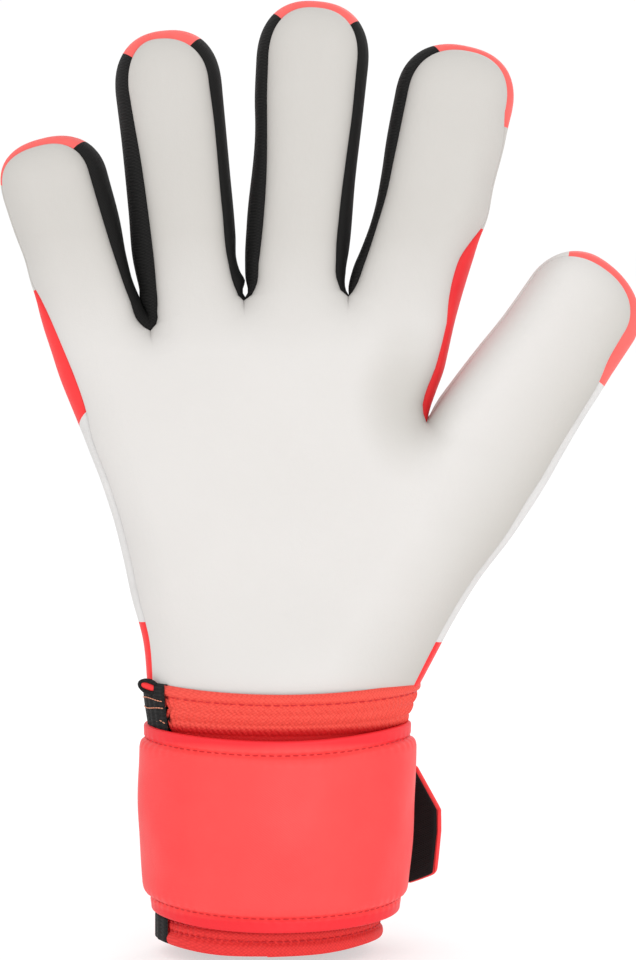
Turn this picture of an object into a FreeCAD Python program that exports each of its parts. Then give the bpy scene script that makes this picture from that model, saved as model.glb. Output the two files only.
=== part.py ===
"""A right-hand goalkeeper glove, stood up with its fingers along +Z and its palm towards -Y.

The glove is a hollow case of foam and cloth walls round the space of a hand.  Every finger is a box of four
walls (palm foam, back, and a gusset or rolled foam at each side) closed by a cap, and it folds towards the palm
at two places.  The case stands on an elastic cuff, which a strap wraps; the strap's flap peels off at the back.
The origin is the middle of the wrist opening, in the plane of the cuff's lower rim.  Lengths are millimetres.
"""

import FreeCAD
import Part
import Sketcher

import math
import os

DIMENSIONS = {
    # walls
    "palm_wall": 7.0,  # latex and its foam backing
    "back_wall": 5.0,
    "side_wall": 3.0,
    "roll_wall": 4.0,  # palm foam rolled round the outside of a finger
    "lining_wall": 1.2,
    # a finger's depth, front to back
    "finger_front": 13.5,  # palm face, ahead of the finger's own middle plane
    "finger_back": 13.5,
    "palm_round": 4.0,
    "back_round": 3.0,
    "tip_round_share": 0.46,  # radius of a fingertip's corners over the finger's width
    "cap_height": 9.0,
    "finger_tilt": 5.0,  # degrees towards the palm
    # fold places, measured along a finger from its root line
    "fold_depth": 4.0,  # a fold's axis is this far ahead of the finger's middle plane
    "root_fold": 11.5,
    "fold_clear": 10.2,  # length of palm wall left out below a fold
    "side_clear": 4.8,  # length of side wall left out below a fold
    "fold_slit": 0.4,  # and of back wall
    # little finger
    "little_root_x": -53.4, "little_root_z": 181.0, "little_lean": -14.2,
    "little_width": 29.0, "little_length": 61.0, "little_fold": 36.0,
    # ring finger
    "ring_root_x": -25.8, "ring_root_z": 189.6, "ring_lean": -4.9,
    "ring_width": 29.6, "ring_length": 82.5, "ring_fold": 44.0,
    # middle finger
    "middle_root_x": 5.0, "middle_root_z": 193.8, "middle_lean": 4.9,
    "middle_width": 30.0, "middle_length": 86.5, "middle_fold": 45.0,
    # index finger
    "index_root_x": 38.2, "index_root_z": 191.6, "index_lean": 13.1,
    "index_width": 31.0, "index_length": 77.0, "index_fold": 43.0,
    # thumb
    "thumb_root_x": 61.8, "thumb_root_z": 146.8, "thumb_lean": 33.5,
    "thumb_width": 35.8, "thumb_length": 65.5, "thumb_fold": 39.5,
    "thumb_forward": 2.0, "thumb_tilt": 8.0,
    # the hand's case: corners of its palm and back walls
    "palm_front": 18.5, "hand_back": 18.6, "hand_foot": 80.0,
    "foot_left_x": -37.0, "foot_right_x": 40.0,
    "heel_left_x": -47.5, "heel_left_z": 128.0,
    "knuckle_left_x": -65.5, "knuckle_left_z": 176.5,
    "web_lr_x": -39.6, "web_lr_z": 184.2,
    "web_rm_x": -10.4, "web_rm_z": 191.6,
    "web_mi_x": 21.4, "web_mi_z": 194.0,
    "knuckle_right_x": 53.2, "knuckle_right_z": 188.0,
    "crotch_x": 46.2, "crotch_z": 156.0,
    "thumb_heel_x": 76.4, "thumb_heel_z": 136.2,
    "back_rise": 9.0,  # how much further the back wall reaches along the fingers
    "web_width": 6.0, "web_drop": 8.0, "web_rise": 0.0,
    "punch_rise": 2.2, "punch_foot": 112.0, "punch_top": 176.0,
    "punch_half_foot": 26.0, "punch_half_top": 40.0,
    # the cuff: half width and half depth of each ring's outer face
    "cuff_half_width": 35.4, "cuff_half_depth": 25.6, "cuff_wall": 2.2, "cuff_top": 66.0,
    "hem_height": 6.0, "hem_proud": 0.9,
    "band_half_width": 40.0, "band_half_depth": 27.2, "band_wall": 2.2,
    "band_foot": 67.4, "band_top": 79.5,
    "insert_front": -18.5, "insert_rear": -9.5, "insert_clear": 0.1,
    "loop_reach": 3.4, "loop_cord": 1.1, "loop_z": 74.5,
    "tack_length": 7.0, "tack_radius": 0.7,
    # the strap
    "strap_half_width": 38.0, "strap_half_depth": 28.2, "strap_wall": 2.2,
    "strap_foot": 8.0, "strap_top": 67.0,
    "pad_wall": 2.6, "pad_border": 4.4, "pad_back_edge": 5.0,
    # the flap and its patches, on a circle that follows the back of the wrist
    "wrap_radius": 51.4, "wrap_middle_y": -23.0,
    "loop_patch_wall": 1.2, "hook_patch_wall": 1.3, "flap_wall": 2.0, "patch_gap": 0.3,
    "flap_foot": 22.5, "flap_height": 33.0, "patch_inset": 2.0,
    "flap_turn": 64.5, "flap_sweep": 42.0,  # degrees round the circle
    "tab_length": 27.5, "tab_bevel": 13.0, "tab_slope": 8.0, "tab_edge": 2.6,
}

ROLLED_SIDE = {"little": -1, "index": 1, "thumb": -1}  # the side where palm foam wraps the finger
SIDE_WORDS = {-1: "little_side", 1: "thumb_side"}
TACK_LEAN = math.radians(-21)  # the bar tacks follow the cuff's face round
TINY = 1e-6
V = FreeCAD.Vector


class Size:
    """A length that carries both its number and the sheet expression that it is bound to."""

    def __init__(self, text, number):
        self.text, self.number = text, number

    @staticmethod
    def of(other):
        return other if isinstance(other, Size) else Size(f"{other:g}", float(other))

    def __add__(self, other):
        other = Size.of(other)
        return Size(f"({self.text} + {other.text})", self.number + other.number)

    def __sub__(self, other):
        other = Size.of(other)
        return Size(f"({self.text} - {other.text})", self.number - other.number)

    def __mul__(self, other):
        other = Size.of(other)
        return Size(f"{self.text} * {other.text}", self.number * other.number)

    def __truediv__(self, other):
        other = Size.of(other)
        return Size(f"{self.text} / {other.text}", self.number / other.number)

    def __neg__(self):
        return Size(f"(0 - {self.text})", -self.number)

    def __float__(self):
        return self.number


def make_sheet(doc):
    """The spreadsheet of driving dimensions, and a lookup from alias to Size."""
    sheet = doc.addObject("Spreadsheet::Sheet", "Dimensions")
    for row, (alias, number) in enumerate(DIMENSIONS.items(), start=1):
        sheet.set(f"A{row}", alias)
        sheet.set(f"B{row}", f"{number:g}")
        sheet.setAlias(f"B{row}", alias)
    doc.recompute()
    return {alias: Size(f"Dimensions.{alias}", float(sheet.get(alias))) for alias in DIMENSIONS}


class Maker:
    """Builds the document's sub-parts and keeps the list of those that become files."""

    def __init__(self, doc, dims):
        self.doc, self.d, self.parts = doc, dims, []

    # ---- general pieces -------------------------------------------------------------------------
    def keep(self, piece, label):
        piece.Label = label
        self.parts.append(piece)
        return piece

    def body(self, name, placement):
        body = self.doc.addObject("PartDesign::Body", name)
        body.Placement = placement
        return body

    def outline(self, body, name, corners):
        """A closed sketch on the body's XZ plane, every corner bound across and up."""
        sketch = body.newObject("Sketcher::SketchObject", name)
        plane = next(f for f in body.Origin.OriginFeatures if f.Role == "XZ_Plane")
        sketch.AttachmentSupport = (plane, [""])
        sketch.MapMode = "FlatFace"
        points = [V(float(x), float(z), 0) for x, z in corners]
        count = len(corners)
        for i in range(count):
            sketch.addGeometry(Part.LineSegment(points[i], points[(i + 1) % count]), False)
        for i in range(count):
            sketch.addConstraint(Sketcher.Constraint("Coincident", i, 2, (i + 1) % count, 1))
        for i, corner in enumerate(corners):
            for kind, size in zip(("DistanceX", "DistanceY"), corner):
                size = Size.of(size)
                rule = Sketcher.Constraint(kind, -1, 1, i, 1, size.number)
                index = sketch.addConstraint(rule)
                sketch.setExpression(f"Constraints[{index}]", size.text)
        return sketch

    def pad(self, body, corners, depth, toward_front=False):
        """A prism from the body's XZ plane: its depth runs towards +Y, or -Y with toward_front."""
        pad = body.newObject("PartDesign::Pad", f"{body.Name}_pad")
        pad.Profile = self.outline(body, f"{body.Name}_outline", corners)
        pad.Reversed = not toward_front
        pad.setExpression("Length", depth.text)
        self.doc.recompute()
        return pad

    def pocket(self, body, corners):
        """Cuts the outline through the whole body, front to back."""
        before = body.Shape.Volume
        pocket = body.newObject("PartDesign::Pocket", f"{body.Name}_pocket")
        pocket.Profile = self.outline(body, f"{body.Name}_pocket_outline", corners)
        pocket.Type = "ThroughAll"
        pocket.Midplane = True
        self.doc.recompute()
        if body.Shape.Volume > before - 1:
            raise RuntimeError(f"{body.Name}: the pocket cut nothing")

    def round_edges(self, body, radius, picked):
        """Rounds the edges of the body's shape that picked(edge) accepts, in the body's own axes."""
        tip = body.Tip
        names = [
            f"Edge{i}" for i, edge in enumerate(tip.Shape.Edges, start=1) if picked(edge)
        ]
        fillet = body.newObject("PartDesign::Fillet", f"{body.Name}_round")
        fillet.Base = (tip, names)
        fillet.setExpression("Radius", Size.of(radius).text)
        self.doc.recompute()
        return fillet

    def join(self, label, pieces):
        """Several solids of one kind, kept as one sub-part."""
        group = self.doc.addObject("Part::Compound", label)
        group.Links = pieces
        return self.keep(group, label)

    # ---- rings round the wrist ------------------------------------------------------------------
    def oval(self, name, half_width, half_depth, foot, height):
        """A solid oval column, standing from foot."""
        ellipse = self.doc.addObject("Part::Ellipse", f"{name}_oval")
        ellipse.setExpression("MajorRadius", half_width.text)
        ellipse.setExpression("MinorRadius", half_depth.text)
        ellipse.setExpression("Placement.Base.z", Size.of(foot).text)
        column = self.doc.addObject("Part::Extrusion", f"{name}_column")
        column.Base = ellipse
        column.DirMode = "Custom"
        column.Dir = V(0, 0, 1)
        column.Solid = True
        column.setExpression("LengthFwd", Size.of(height).text)
        return column

    def ring(self, name, half_width, half_depth, wall, foot, height):
        ring = self.doc.addObject("Part::Cut", name)
        ring.Base = self.oval(f"{name}_outer", half_width, half_depth, foot, height)
        ring.Tool = self.oval(f"{name}_inner", half_width - wall, half_depth - wall, foot, height)
        return ring

    def box(self, name, low, size):
        """A block from its lowest corner, bound on every side."""
        block = self.doc.addObject("Part::Box", name)
        for axis, place in zip("xyz", low):
            block.setExpression(f"Placement.Base.{axis}", Size.of(place).text)
        for side, length in zip(("Length", "Width", "Height"), size):
            block.setExpression(side, Size.of(length).text)
        return block

    def boolean(self, kind, name, base, tool):
        result = self.doc.addObject(kind, name)
        result.Base, result.Tool = base, tool
        return result


def finger_frame(d, name):
    """Where a finger's own axes stand: Z along it from its root line, X across, Y towards its back."""
    tilt = d["thumb_tilt"] if name == "thumb" else d["finger_tilt"]
    forward = -float(d["thumb_forward"]) if name == "thumb" else 0.0
    turn = FreeCAD.Rotation(V(0, 1, 0), float(d[f"{name}_lean"]))
    turn = turn.multiply(FreeCAD.Rotation(V(1, 0, 0), float(tilt)))
    root = V(float(d[f"{name}_root_x"]), forward, float(d[f"{name}_root_z"]))
    return FreeCAD.Placement(root, turn)


def shifted(frame, y):
    return frame.multiply(FreeCAD.Placement(V(0, float(y), 0), FreeCAD.Rotation()))


def across_edges(top, half_width):
    """Picks the two edges that run front to back at a fingertip's corners."""

    def picked(edge):
        a, b = edge.Vertexes[0].Point, edge.Vertexes[-1].Point
        return (
            abs(a.x - b.x) < 1e-6
            and abs(a.z - b.z) < 1e-6
            and abs(a.z - top) < 1e-6
            and abs(abs(a.x) - half_width) < 1e-6
        )

    return picked


def plate(maker, name, frame, half, bottom, top, thickness, radius, tip):
    """A finger's palm or back wall: its outer face is on frame's XZ plane and its long edges are round."""
    body = maker.body(name, frame)
    maker.pad(body, [(-half, bottom), (half, bottom), (half, top), (-half, top)], thickness)
    if tip:
        corner = half * 2 * maker.d["tip_round_share"]
        maker.round_edges(body, corner, across_edges(float(top), float(half)))

    def picked(edge):
        points = [v.Point for v in edge.Vertexes]
        on_face = all(abs(p.y) < TINY for p in points)
        level = abs(points[0].z - points[-1].z) < TINY
        at_bottom = level and abs(points[0].z - float(bottom)) < TINY
        return on_face and not at_bottom and (tip or not level)

    maker.round_edges(body, radius, picked)
    return body


def side_strip(maker, name, frame, half, side, wall, bottom, top):
    """A wall between the palm wall and the back wall, at one side of a finger."""
    d = maker.d
    edge, inner = half, half - wall
    if side < 0:
        edge, inner = -edge, -inner
    body = maker.body(name, shifted(frame, d["palm_wall"] - d["finger_front"]))
    corners = [(edge, bottom), (inner, bottom), (inner, top), (edge, top)]
    maker.pad(body, corners, between_walls(d))
    return body


def between_walls(d):
    return d["finger_front"] + d["finger_back"] - d["palm_wall"] - d["back_wall"]


def tip_cap(maker, name, frame, half, top):
    """The slice of a round fingertip that closes the finger between its palm and back walls."""
    d = maker.d
    corner = half * 2 * d["tip_round_share"]
    body = maker.body(name, shifted(frame, d["palm_wall"] - d["finger_front"]))
    low = top - corner - 0.5
    maker.pad(body, [(-half, low), (half, low), (half, top), (-half, top)], between_walls(d))
    maker.round_edges(body, corner, across_edges(float(top), float(half)))
    wide, foot = half + 1.0, top - d["cap_height"]
    maker.pocket(body, [(-wide, low - 1.0), (wide, low - 1.0), (wide, foot), (-wide, foot)])
    return maker.keep(body, name)


def make_finger(maker, name):
    """A finger or the thumb: its walls up to the second fold, then its tip's walls and cap."""
    d = maker.d
    frame = finger_frame(d, name)
    face = shifted(frame, -d["finger_front"])
    half_turn = FreeCAD.Placement(V(0, 0, 0), FreeCAD.Rotation(V(0, 0, 1), 180))
    back_face = shifted(frame, d["finger_back"]).multiply(half_turn)
    half, fold, length = d[f"{name}_width"] / 2, d[f"{name}_fold"], d[f"{name}_length"]
    rolled = ROLLED_SIDE.get(name, 0)
    sides = {
        "base": (d["root_fold"], fold - d["fold_clear"], fold - d["side_clear"], fold - d["fold_slit"]),
        "tip": (fold, length, length - d["cap_height"], length),
    }
    for part, (bottom, top, side_top, back_top) in sides.items():
        tip = part == "tip"
        foam_label = f"{name}_palm_foam_{part}"
        foam = plate(
            maker, f"{foam_label}_front", face, half, bottom, top, d["palm_wall"], d["palm_round"], tip
        )
        if rolled:
            roll = side_strip(
                maker, f"{foam_label}_roll", frame, half, rolled, d["roll_wall"], bottom, side_top
            )
            maker.join(foam_label, [foam, roll])
        else:
            maker.keep(foam, foam_label)
        back_label = f"{name}_back_{part}"
        back = plate(
            maker, back_label, back_face, half, bottom, back_top, d["back_wall"], d["back_round"], tip
        )
        maker.keep(back, back_label)
        strips = [
            side_strip(
                maker, f"{name}_{SIDE_WORDS[side]}_gusset_{part}", frame, half, side, d["side_wall"],
                bottom, side_top,
            )
            for side in (-1, 1)
            if side != rolled
        ]
        maker.join(f"{name}_gussets_{part}" if len(strips) > 1 else f"{name}_gusset_{part}", strips)
    tip_cap(maker, f"{name}_tip_cap", frame, half, length)


def make_hand(maker):
    """The case round the palm: front, back and side walls, with a gusset at each web between fingers."""
    d = maker.d
    origin = FreeCAD.Placement()
    foot = d["hand_foot"]

    def corner(name, rise=0.0):
        return (d[f"{name}_x"], d[f"{name}_z"] + rise)

    def outline(rise):
        return [
            (d["foot_left_x"], foot), corner("heel_left"), corner("knuckle_left", rise),
            corner("web_lr", rise), corner("web_rm", rise), corner("web_mi", rise),
            corner("knuckle_right", rise), corner("crotch"), corner("thumb_heel"),
            (d["foot_right_x"], foot),
        ]

    palm = maker.body("palm_foam", shifted(origin, -d["palm_front"]))
    maker.pad(palm, outline(0.0), d["palm_wall"])
    maker.keep(palm, "palm_foam")
    back = maker.body("backhand", shifted(origin, d["hand_back"] - d["back_wall"]))
    maker.pad(back, outline(d["back_rise"]), d["back_wall"])
    maker.keep(back, "backhand")

    lining_face = d["hand_back"] - d["back_wall"] - d["lining_wall"] - 0.2
    lining = maker.body("backhand_lining", shifted(origin, lining_face))
    maker.pad(
        lining,
        [
            (d["foot_left_x"] + 5.0, foot + 2.0), (d["heel_left_x"] + 6.0, d["heel_left_z"]),
            (d["knuckle_left_x"] + 8.0, d["knuckle_left_z"] - 6.0),
            (d["web_rm_x"], d["web_rm_z"] - 14.0),
            (d["knuckle_right_x"] - 12.0, d["knuckle_right_z"] - 10.0),
            (d["crotch_x"] - 6.0, d["crotch_z"]), (d["foot_right_x"] - 5.0, foot + 2.0),
        ],
        d["lining_wall"],
    )
    maker.keep(lining, "backhand_lining")
    punch = maker.body("punch_zone", shifted(origin, d["hand_back"]))
    maker.pad(
        punch,
        [
            (-d["punch_half_foot"], d["punch_foot"]), (-d["punch_half_top"], d["punch_top"]),
            (d["punch_half_top"], d["punch_top"]), (d["punch_half_foot"], d["punch_foot"]),
        ],
        d["punch_rise"],
    )
    maker.keep(punch, "punch_zone")

    inside = shifted(origin, d["palm_wall"] - d["palm_front"])
    gap = d["palm_front"] + d["hand_back"] - d["palm_wall"] - d["back_wall"]
    wall = d["side_wall"]

    def side_wall(name, corners):
        """A wall along a run of the outline, its inner face moved across by the wall's thickness."""
        side = maker.body(name, inside)
        inner = [(x + shift_x, z + shift_z) for x, z, shift_x, shift_z in reversed(corners)]
        maker.pad(side, [(x, z) for x, z, _, _ in corners] + inner, gap)
        maker.keep(side, name)

    side_wall("little_side_panel", [
        (d["foot_left_x"], foot, wall, 0.0), (*corner("heel_left"), wall, 0.0),
        (*corner("knuckle_left"), wall, 0.0),
    ])
    side_wall("thumb_side_panel", [
        (d["foot_right_x"], foot, -wall, wall * 0.3), (*corner("thumb_heel"), -wall, wall * 0.3),
    ])
    side_wall("thumb_web", [
        (*corner("crotch"), -wall, 0.0), (*corner("knuckle_right"), -wall, 0.0),
    ])
    webs = []
    for name in ("web_lr", "web_rm", "web_mi"):
        x, z = corner(name)
        half = d["web_width"] / 2
        web = maker.body(f"{name}_gusset", inside)
        low, high = z - d["web_drop"], z + d["web_rise"]
        maker.pad(web, [(x - half, low), (x + half, low), (x + half, high), (x - half, high)], gap)
        webs.append(web)
    maker.join("web_gussets", webs)


def make_cuff(maker):
    """The elastic cuff with its lining, hem, the narrow insert that lets it stretch, and the pull loop."""
    d = maker.d
    half_width, half_depth, wall = d["cuff_half_width"], d["cuff_half_depth"], d["cuff_wall"]
    clear = d["insert_clear"]
    hem_height, cuff_top = d["hem_height"], d["cuff_top"]
    tall = cuff_top - hem_height
    band_tall = d["band_top"] - d["band_foot"]
    insert_depth = d["insert_rear"] - d["insert_front"]

    def insert_block(name, gap, foot, height):
        """The space of the insert, at the little-finger side of the cuff's front."""
        return maker.box(
            name,
            (-d["band_half_width"] - 1.0, d["insert_front"] - gap, foot),
            (d["band_half_width"] * 0.5, insert_depth + gap * 2, height),
        )

    sleeve = maker.ring("cuff_sleeve_ring", half_width, half_depth, wall, hem_height, tall)
    slot = insert_block("cuff_slot", clear, hem_height - 1.0, tall + 2.0)
    maker.keep(maker.boolean("Part::Cut", "cuff_sleeve", sleeve, slot), "cuff_sleeve")
    band = maker.ring(
        "band_ring", d["band_half_width"], d["band_half_depth"], d["band_wall"], d["band_foot"], band_tall
    )
    slot = insert_block("band_slot", clear, d["band_foot"] - 1.0, band_tall + 2.0)
    maker.keep(maker.boolean("Part::Cut", "elastic_band", band, slot), "elastic_band")
    lower = maker.boolean(
        "Part::Common", "insert_lower",
        maker.ring("insert_lower_ring", half_width, half_depth, wall, hem_height, tall),
        insert_block("insert_lower_block", Size.of(0.0), hem_height, tall),
    )
    upper = maker.boolean(
        "Part::Common", "insert_upper",
        maker.ring("insert_upper_ring", d["band_half_width"], d["band_half_depth"], d["band_wall"],
                   d["band_foot"], band_tall),
        insert_block("insert_upper_block", Size.of(0.0), d["band_foot"], band_tall),
    )
    maker.join("cuff_insert", [lower, upper])
    lining = maker.ring(
        "cuff_lining", half_width - wall - 0.2, half_depth - wall - 0.2, d["lining_wall"],
        hem_height, tall,
    )
    maker.keep(lining, "cuff_lining")
    hem = maker.ring(
        "cuff_hem", half_width + d["hem_proud"], half_depth + d["hem_proud"],
        wall + d["hem_proud"] * 2, Size.of(0.0), hem_height,
    )
    maker.keep(hem, "cuff_hem")

    loop = maker.doc.addObject("Part::Torus", "pull_loop")
    loop.setExpression("Radius1", (d["loop_reach"] - d["loop_cord"]).text)
    loop.setExpression("Radius2", d["loop_cord"].text)
    middle_y = (float(d["insert_front"]) + float(d["insert_rear"])) / 2
    outside_x = oval_x(d["band_half_width"], d["band_half_depth"], d["insert_rear"])
    turn = FreeCAD.Rotation(V(0, 1, 0), 90)
    reach = float(d["loop_reach"]) + 0.3
    loop.Placement = FreeCAD.Placement(V(outside_x - reach * 0.5, middle_y - reach, float(d["loop_z"])), turn)
    maker.keep(loop, "pull_loop")

    tacks = []
    for word, level in (("low", d["band_foot"] + 2.0), ("high", d["band_top"] - 2.0)):
        tack = maker.doc.addObject("Part::Cylinder", f"bar_tack_{word}")
        tack.setExpression("Radius", d["tack_radius"].text)
        tack.setExpression("Height", d["tack_length"].text)
        lean = FreeCAD.Rotation(V(0, 0, 1), V(math.sin(TACK_LEAN), -math.cos(TACK_LEAN), 0))
        tack.Placement = FreeCAD.Placement(
            V(outside_x - float(d["tack_radius"]) - 0.6, float(d["insert_rear"]), float(level)), lean
        )
        tacks.append(tack)
    maker.join("bar_tacks", tacks)


def oval_x(half_width, half_depth, y):
    """Where an oval ring's outer face stands on the little-finger side, at a given depth."""
    return -float(half_width) * math.sqrt(1 - (float(y) / float(half_depth)) ** 2)


def make_strap(maker):
    """The wrist strap: a band, its padded front between two stitched borders, and the loop patch."""
    d = maker.d
    half_width, half_depth, wall = d["strap_half_width"], d["strap_half_depth"], d["strap_wall"]
    foot, tall = d["strap_foot"], d["strap_top"] - d["strap_foot"]
    pad_wall, border = d["pad_wall"], d["pad_border"]
    maker.keep(
        maker.ring("strap_band", half_width, half_depth, wall, foot, tall), "strap_band"
    )

    def front_part(name, rise, low, height):
        """The part of a ring, rise thick and laid on the band, that lies ahead of the pad's back edge."""
        ring = maker.ring(
            f"{name}_ring", half_width + rise + 0.2, half_depth + rise + 0.2, rise, low, height
        )
        block = maker.box(
            f"{name}_block", (-half_width - 10.0, -half_depth - 10.0, low - 1.0),
            ((half_width + 10.0) * 2, half_depth + 10.0 + d["pad_back_edge"], height + 2.0),
        )
        return maker.boolean("Part::Common", name, ring, block)

    pad = front_part("strap_pad", pad_wall, foot + border, tall - border * 2)
    maker.keep(pad, "strap_pad")
    borders = [
        front_part("strap_border_low", pad_wall * 0.4, foot, border - 0.2),
        front_part("strap_border_high", pad_wall * 0.4, foot + tall - border + 0.2, border - 0.2),
    ]
    maker.join("strap_borders", borders)


def make_flap(maker):
    """The flap that closes the strap: it follows the back of the wrist and ends in a straight tab."""
    d = maker.d
    middle = V(0, float(d["wrap_middle_y"]), 0)
    turn = float(d["flap_turn"])

    def wrapped(name, radius, wall, low, height):
        """A sector of a round wall about the wrap's middle, from the flap's turn to its root."""
        rounds = []
        for word, size in (("outer", radius + wall), ("inner", radius)):
            cylinder = maker.doc.addObject("Part::Cylinder", f"{name}_{word}")
            cylinder.setExpression("Radius", size.text)
            cylinder.setExpression("Height", height.text)
            cylinder.setExpression("Angle", d["flap_sweep"].text)
            cylinder.Placement = FreeCAD.Placement(
                middle + V(0, 0, float(low)), FreeCAD.Rotation(V(0, 0, 1), turn)
            )
            rounds.append(cylinder)
        return maker.boolean("Part::Cut", name, *rounds)

    def straight(name, radius, wall, low, high, corners):
        """A flat wall beyond the turn, along the tangent there, with its outline given from the turn on."""
        angle = math.radians(turn)
        reach = float(radius + wall)
        start = middle + V(reach * math.cos(angle), reach * math.sin(angle), 0)
        body = maker.body(name, FreeCAD.Placement(start, FreeCAD.Rotation(V(0, 0, 1), turn - 90)))
        maker.pad(body, corners(low, high), wall, toward_front=True)
        return body

    length, bevel, slope = d["tab_length"], d["tab_bevel"], d["tab_slope"]
    edge_start = length - d["tab_edge"]

    def tab_corners(low, high):
        """The tab up to its grip: its upper corner is cut off along a slope."""
        root = Size.of(-0.02)
        shoulder = high - bevel + bevel * d["tab_edge"] / slope
        return [(root, low), (edge_start, low), (edge_start, shoulder), (length - slope, high), (root, high)]

    def grip_corners(low, high):
        """The strip along the tab's end that fingers pull."""
        shoulder = high - bevel + bevel * d["tab_edge"] / slope
        return [
            (edge_start, low), (length - 1.0, low), (length, low + 2.0), (length, high - bevel),
            (edge_start, shoulder),
        ]

    inset = d["patch_inset"]
    loop_patch = wrapped(
        "loop_patch", d["wrap_radius"], d["loop_patch_wall"], d["flap_foot"] - inset,
        d["flap_height"] + inset * 2,
    )
    maker.keep(loop_patch, "loop_patch")
    hook_radius = d["wrap_radius"] + d["loop_patch_wall"] + d["patch_gap"]
    layers = {
        "hook_patch": (hook_radius, d["hook_patch_wall"], inset * 0.5),
        "flap": (hook_radius + d["hook_patch_wall"], d["flap_wall"], Size.of(0.0)),
    }
    for name, (radius, wall, margin) in layers.items():
        low, height = d["flap_foot"] + margin, d["flap_height"] - margin * 2
        round_part = wrapped(f"{name}_round", radius, wall, low, height)
        tab = straight(f"{name}_straight", radius, wall, low, low + height, tab_corners)
        maker.keep(maker.boolean("Part::Fuse", name, round_part, tab), name)
    grip = straight(
        "flap_grip", hook_radius, d["hook_patch_wall"] + d["flap_wall"], d["flap_foot"],
        d["flap_foot"] + d["flap_height"], grip_corners,
    )
    maker.keep(grip, "flap_grip")


def write(doc, parts):
    faults = [o.Name for o in doc.Objects if {"Invalid", "Error"} & set(o.State)]
    faults += [p.Label for p in parts if p.Shape.isNull() or not p.Shape.isValid()]
    if faults:
        raise RuntimeError(f"these objects failed: {faults}")
    os.makedirs("parts", exist_ok=True)
    for part in parts:
        part.Shape.exportStep(os.path.join("parts", part.Label + ".step"))


def main():
    doc = FreeCAD.newDocument("goalkeeper_glove")
    maker = Maker(doc, make_sheet(doc))
    for name in ("little", "ring", "middle", "index", "thumb"):
        make_finger(maker, name)
    make_hand(maker)
    make_cuff(maker)
    make_strap(maker)
    make_flap(maker)
    doc.recompute()
    write(doc, maker.parts)
    return maker


if __name__ == "__main__":
    main()
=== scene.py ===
"""A goalkeeper glove for the right hand, palm towards -Y, fingers towards +Z, thumb towards +X.

Sizes are in millimetres until a mesh is made. A finger has its own plan axes: u across, towards the
thumb, and w along, from its root. Every soft wall is a function of two parameters on a grid.
"""

import math

import bpy
import numpy as np
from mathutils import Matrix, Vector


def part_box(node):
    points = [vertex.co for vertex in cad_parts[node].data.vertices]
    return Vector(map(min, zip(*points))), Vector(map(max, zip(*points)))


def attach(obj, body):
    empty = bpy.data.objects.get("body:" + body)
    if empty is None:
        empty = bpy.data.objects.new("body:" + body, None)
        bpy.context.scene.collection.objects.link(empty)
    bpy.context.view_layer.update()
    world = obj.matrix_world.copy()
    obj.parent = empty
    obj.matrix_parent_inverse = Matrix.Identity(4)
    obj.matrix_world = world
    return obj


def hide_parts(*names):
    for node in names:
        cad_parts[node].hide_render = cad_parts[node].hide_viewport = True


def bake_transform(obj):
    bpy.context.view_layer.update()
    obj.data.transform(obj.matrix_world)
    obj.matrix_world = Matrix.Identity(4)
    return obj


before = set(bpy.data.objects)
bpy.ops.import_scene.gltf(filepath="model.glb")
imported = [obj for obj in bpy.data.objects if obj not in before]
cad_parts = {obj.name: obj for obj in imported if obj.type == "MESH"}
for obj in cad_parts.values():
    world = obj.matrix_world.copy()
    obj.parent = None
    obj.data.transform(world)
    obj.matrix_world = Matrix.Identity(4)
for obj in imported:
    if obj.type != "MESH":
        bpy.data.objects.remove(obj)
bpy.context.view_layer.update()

MM = 0.001
EDGE_ROUND = 11.5  # width of the rounded margin of a palm or back wall
FINGER_FRONT, FINGER_BACK = 13.2, 13.0  # how far a finger's faces stand off its middle plane
PALM_RISE, HAND_BACK_RISE = 5.5, 5.0  # how much further those of the hand do
WRIST_DEPTH = 25.9  # and how far the oval does that the hand closes to at the wrist
TILT = {"little": 5.0, "ring": 5.0, "middle": 5.0, "index": 5.0, "thumb": 8.0}  # in degrees
TURN = 2 * math.pi


# ---- numbers ------------------------------------------------------------------------------------
def smooth(t):
    """From 0 to 1, level at both ends: t^2 (3 - 2t)."""
    t = np.clip(t, 0.0, 1.0)
    return t * t * (3.0 - 2.0 * t)


def through(knots, at):
    """Heights of the cubic Hermite curve through (place, height) knots, level outside them."""
    place, height = np.asarray(knots, float).T
    slope = np.gradient(height, place)
    i = np.clip(np.searchsorted(place, at) - 1, 0, len(place) - 2)
    span = place[i + 1] - place[i]
    t = np.clip((at - place[i]) / span, 0.0, 1.0)
    start = height[i] * (1 + 2 * t) * (1 - t) ** 2 + slope[i] * span * t * (1 - t) ** 2
    return start + height[i + 1] * t * t * (3 - 2 * t) + slope[i + 1] * span * t * t * (t - 1)


def along_curve(knots, at):
    """Plan points along the curve through (place, height) knots, heights first."""
    return np.stack([through(knots, at), at], 1)


def mix(a, b, t):
    return a * (1.0 - t) + b * t


def bell(t, middle, width):
    """exp(-((t - middle) / width)^2)"""
    return np.exp(-(((t - middle) / width) ** 2))


def arch(t, middle, half):
    """A half circle of height 1 over middle - half to middle + half, and 0 beyond."""
    return np.sqrt(np.clip(1 - ((t - middle) / half) ** 2, 0, 1))


def rounded(distance, radius, power=2):
    """A rounded edge, 0 on it and 1 from radius on: sqrt(1 - (1 - distance / radius)^power)."""
    return np.sqrt(1 - (1 - np.clip(distance / radius, 0, 1)) ** power)


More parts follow.
